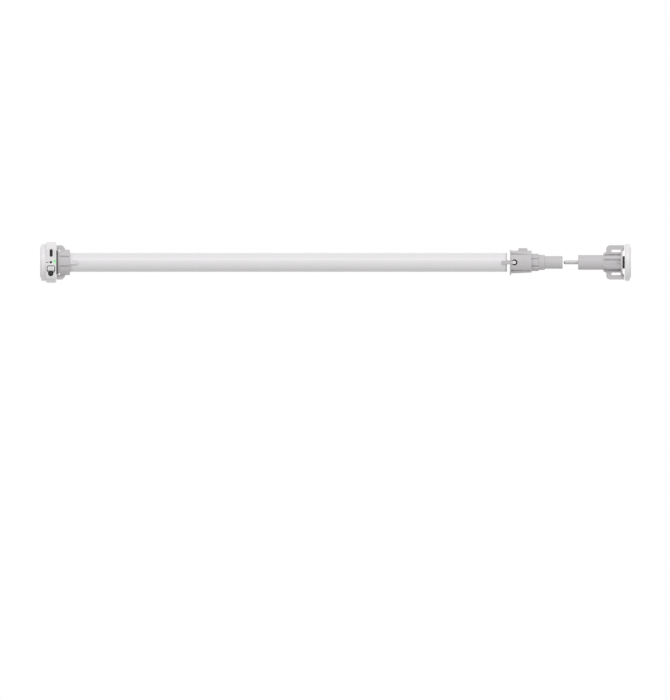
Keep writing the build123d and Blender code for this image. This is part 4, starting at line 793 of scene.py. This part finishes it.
turned_metal = turned_rings()
copper_reach = 0.0066
copper_dark, copper_bright = (0.30, 0.09, 0.035, 1.0), (0.72, 0.30, 0.12, 1.0)
stack = surfaced("sheet stack", turned_metal, (0.34, 0.34, 0.36), scale=9000.0, rough=(0.35, 0.55),
                 least=0.6, relief=0.4, depth=0.00006, Metallic=1.0)
stack_tree = stack.node_tree
stack_place = place_on(stack_tree)
stack_y, stack_z = ways(stack_tree, stack_place)[1:]
stack_reach = vector_sums(stack_tree, "LENGTH", vector(stack_tree, stack_y, stack_z))
stack_wire = step(stack_tree, "ShaderNodeTexWave", ("Vector", stack_place), ("Scale", 900.0),
                  ("Distortion", 1.0), bands_direction="X").outputs["Fac"]
stack_copper = mixed(stack_tree, stack_wire, copper_dark, copper_bright)
overlaid(stack, sums(stack_tree, "LESS_THAN", stack_reach, copper_reach), stack_copper)
finish(stack, "rotor_core")

# Shafts, brake disc and steel gears: turned, hobbed and ground from bar
# Tool marks run round them as fine rings, brighter where a bearing has polished them
turned_steel = surfaced("turned steel", turned_metal, (0.60, 0.60, 0.61), scale=6000.0, rough=(0.20, 0.38),
                        least=0.8, relief=0.15, depth=0.00002, Metallic=1.0)
finish(turned_steel, "rotor_shaft", "output_shaft")
ground_steel = surfaced("ground steel", turned_metal, (0.48, 0.48, 0.50), scale=9000.0, rough=(0.28, 0.46),
                        least=0.75, relief=0.15, depth=0.00002, Metallic=1.0)
finish(ground_steel, "brake_disc", "carrier_1", "carrier_2", "output_carrier")
hobbed_steel = surfaced("hobbed steel", turned_metal, (0.52, 0.51, 0.50), scale=12000.0, rough=(0.25, 0.42),
                        least=0.8, relief=0.2, depth=0.00002, Metallic=1.0)
finish(hobbed_steel, "planet_2a", "planet_2b", "planet_2c", "planet_3a", "planet_3b", "planet_3c")

# Gearbox barrel: broached steel ring gear under zinc plate, with a sheen of grease on its teeth
# The first sun gear is brass and the first planets are natural acetal, which keeps the fast stage quiet
broached = surfaced("broached ring", turned_metal, (0.62, 0.63, 0.65), scale=5000.0, rough=(0.22, 0.42),
                    least=0.8, relief=0.15, depth=0.00003, Metallic=1.0)
finish(broached, "ring_gear")
brass = surfaced("turned brass", turned_metal, (0.80, 0.60, 0.28), scale=7000.0, rough=(0.20, 0.34),
                 least=0.82, relief=0.12, depth=0.00002, Metallic=1.0)
finish(brass, "sun_gear_1")
acetal = surfaced("acetal", moulded_skin, (0.82, 0.79, 0.71), scale=3000.0, rough=(0.30, 0.42), least=0.93,
                  relief=0.12, depth=0.00003, Subsurface_Weight=0.1, Subsurface_Scale=0.0006)
finish(acetal, "planet_1a", "planet_1b", "planet_1c")

# Shaft bushes: pressed bronze, porous and soaked with oil, pushed into the tube's end cap
# Fine pores, with a darker oil stain in places
bronze = surfaced("oiled bronze", plated_metal, (0.62, 0.40, 0.20), scale=5000.0, rough=(0.32, 0.5),
                  least=0.55, relief=0.3, depth=0.00003, Metallic=1.0)
finish(bronze, "output_bushes")

# Idler pin: turned steel rod that slides in the sleeve against its spring
# Satin from its plating, with turning marks round it
pin_steel = surfaced("pin steel", turned_metal, (0.56, 0.56, 0.57), scale=5000.0, rough=(0.38, 0.5),
                     least=0.86, relief=0.15, depth=0.00002, Metallic=0.7)
finish(pin_steel, "idler_pin")
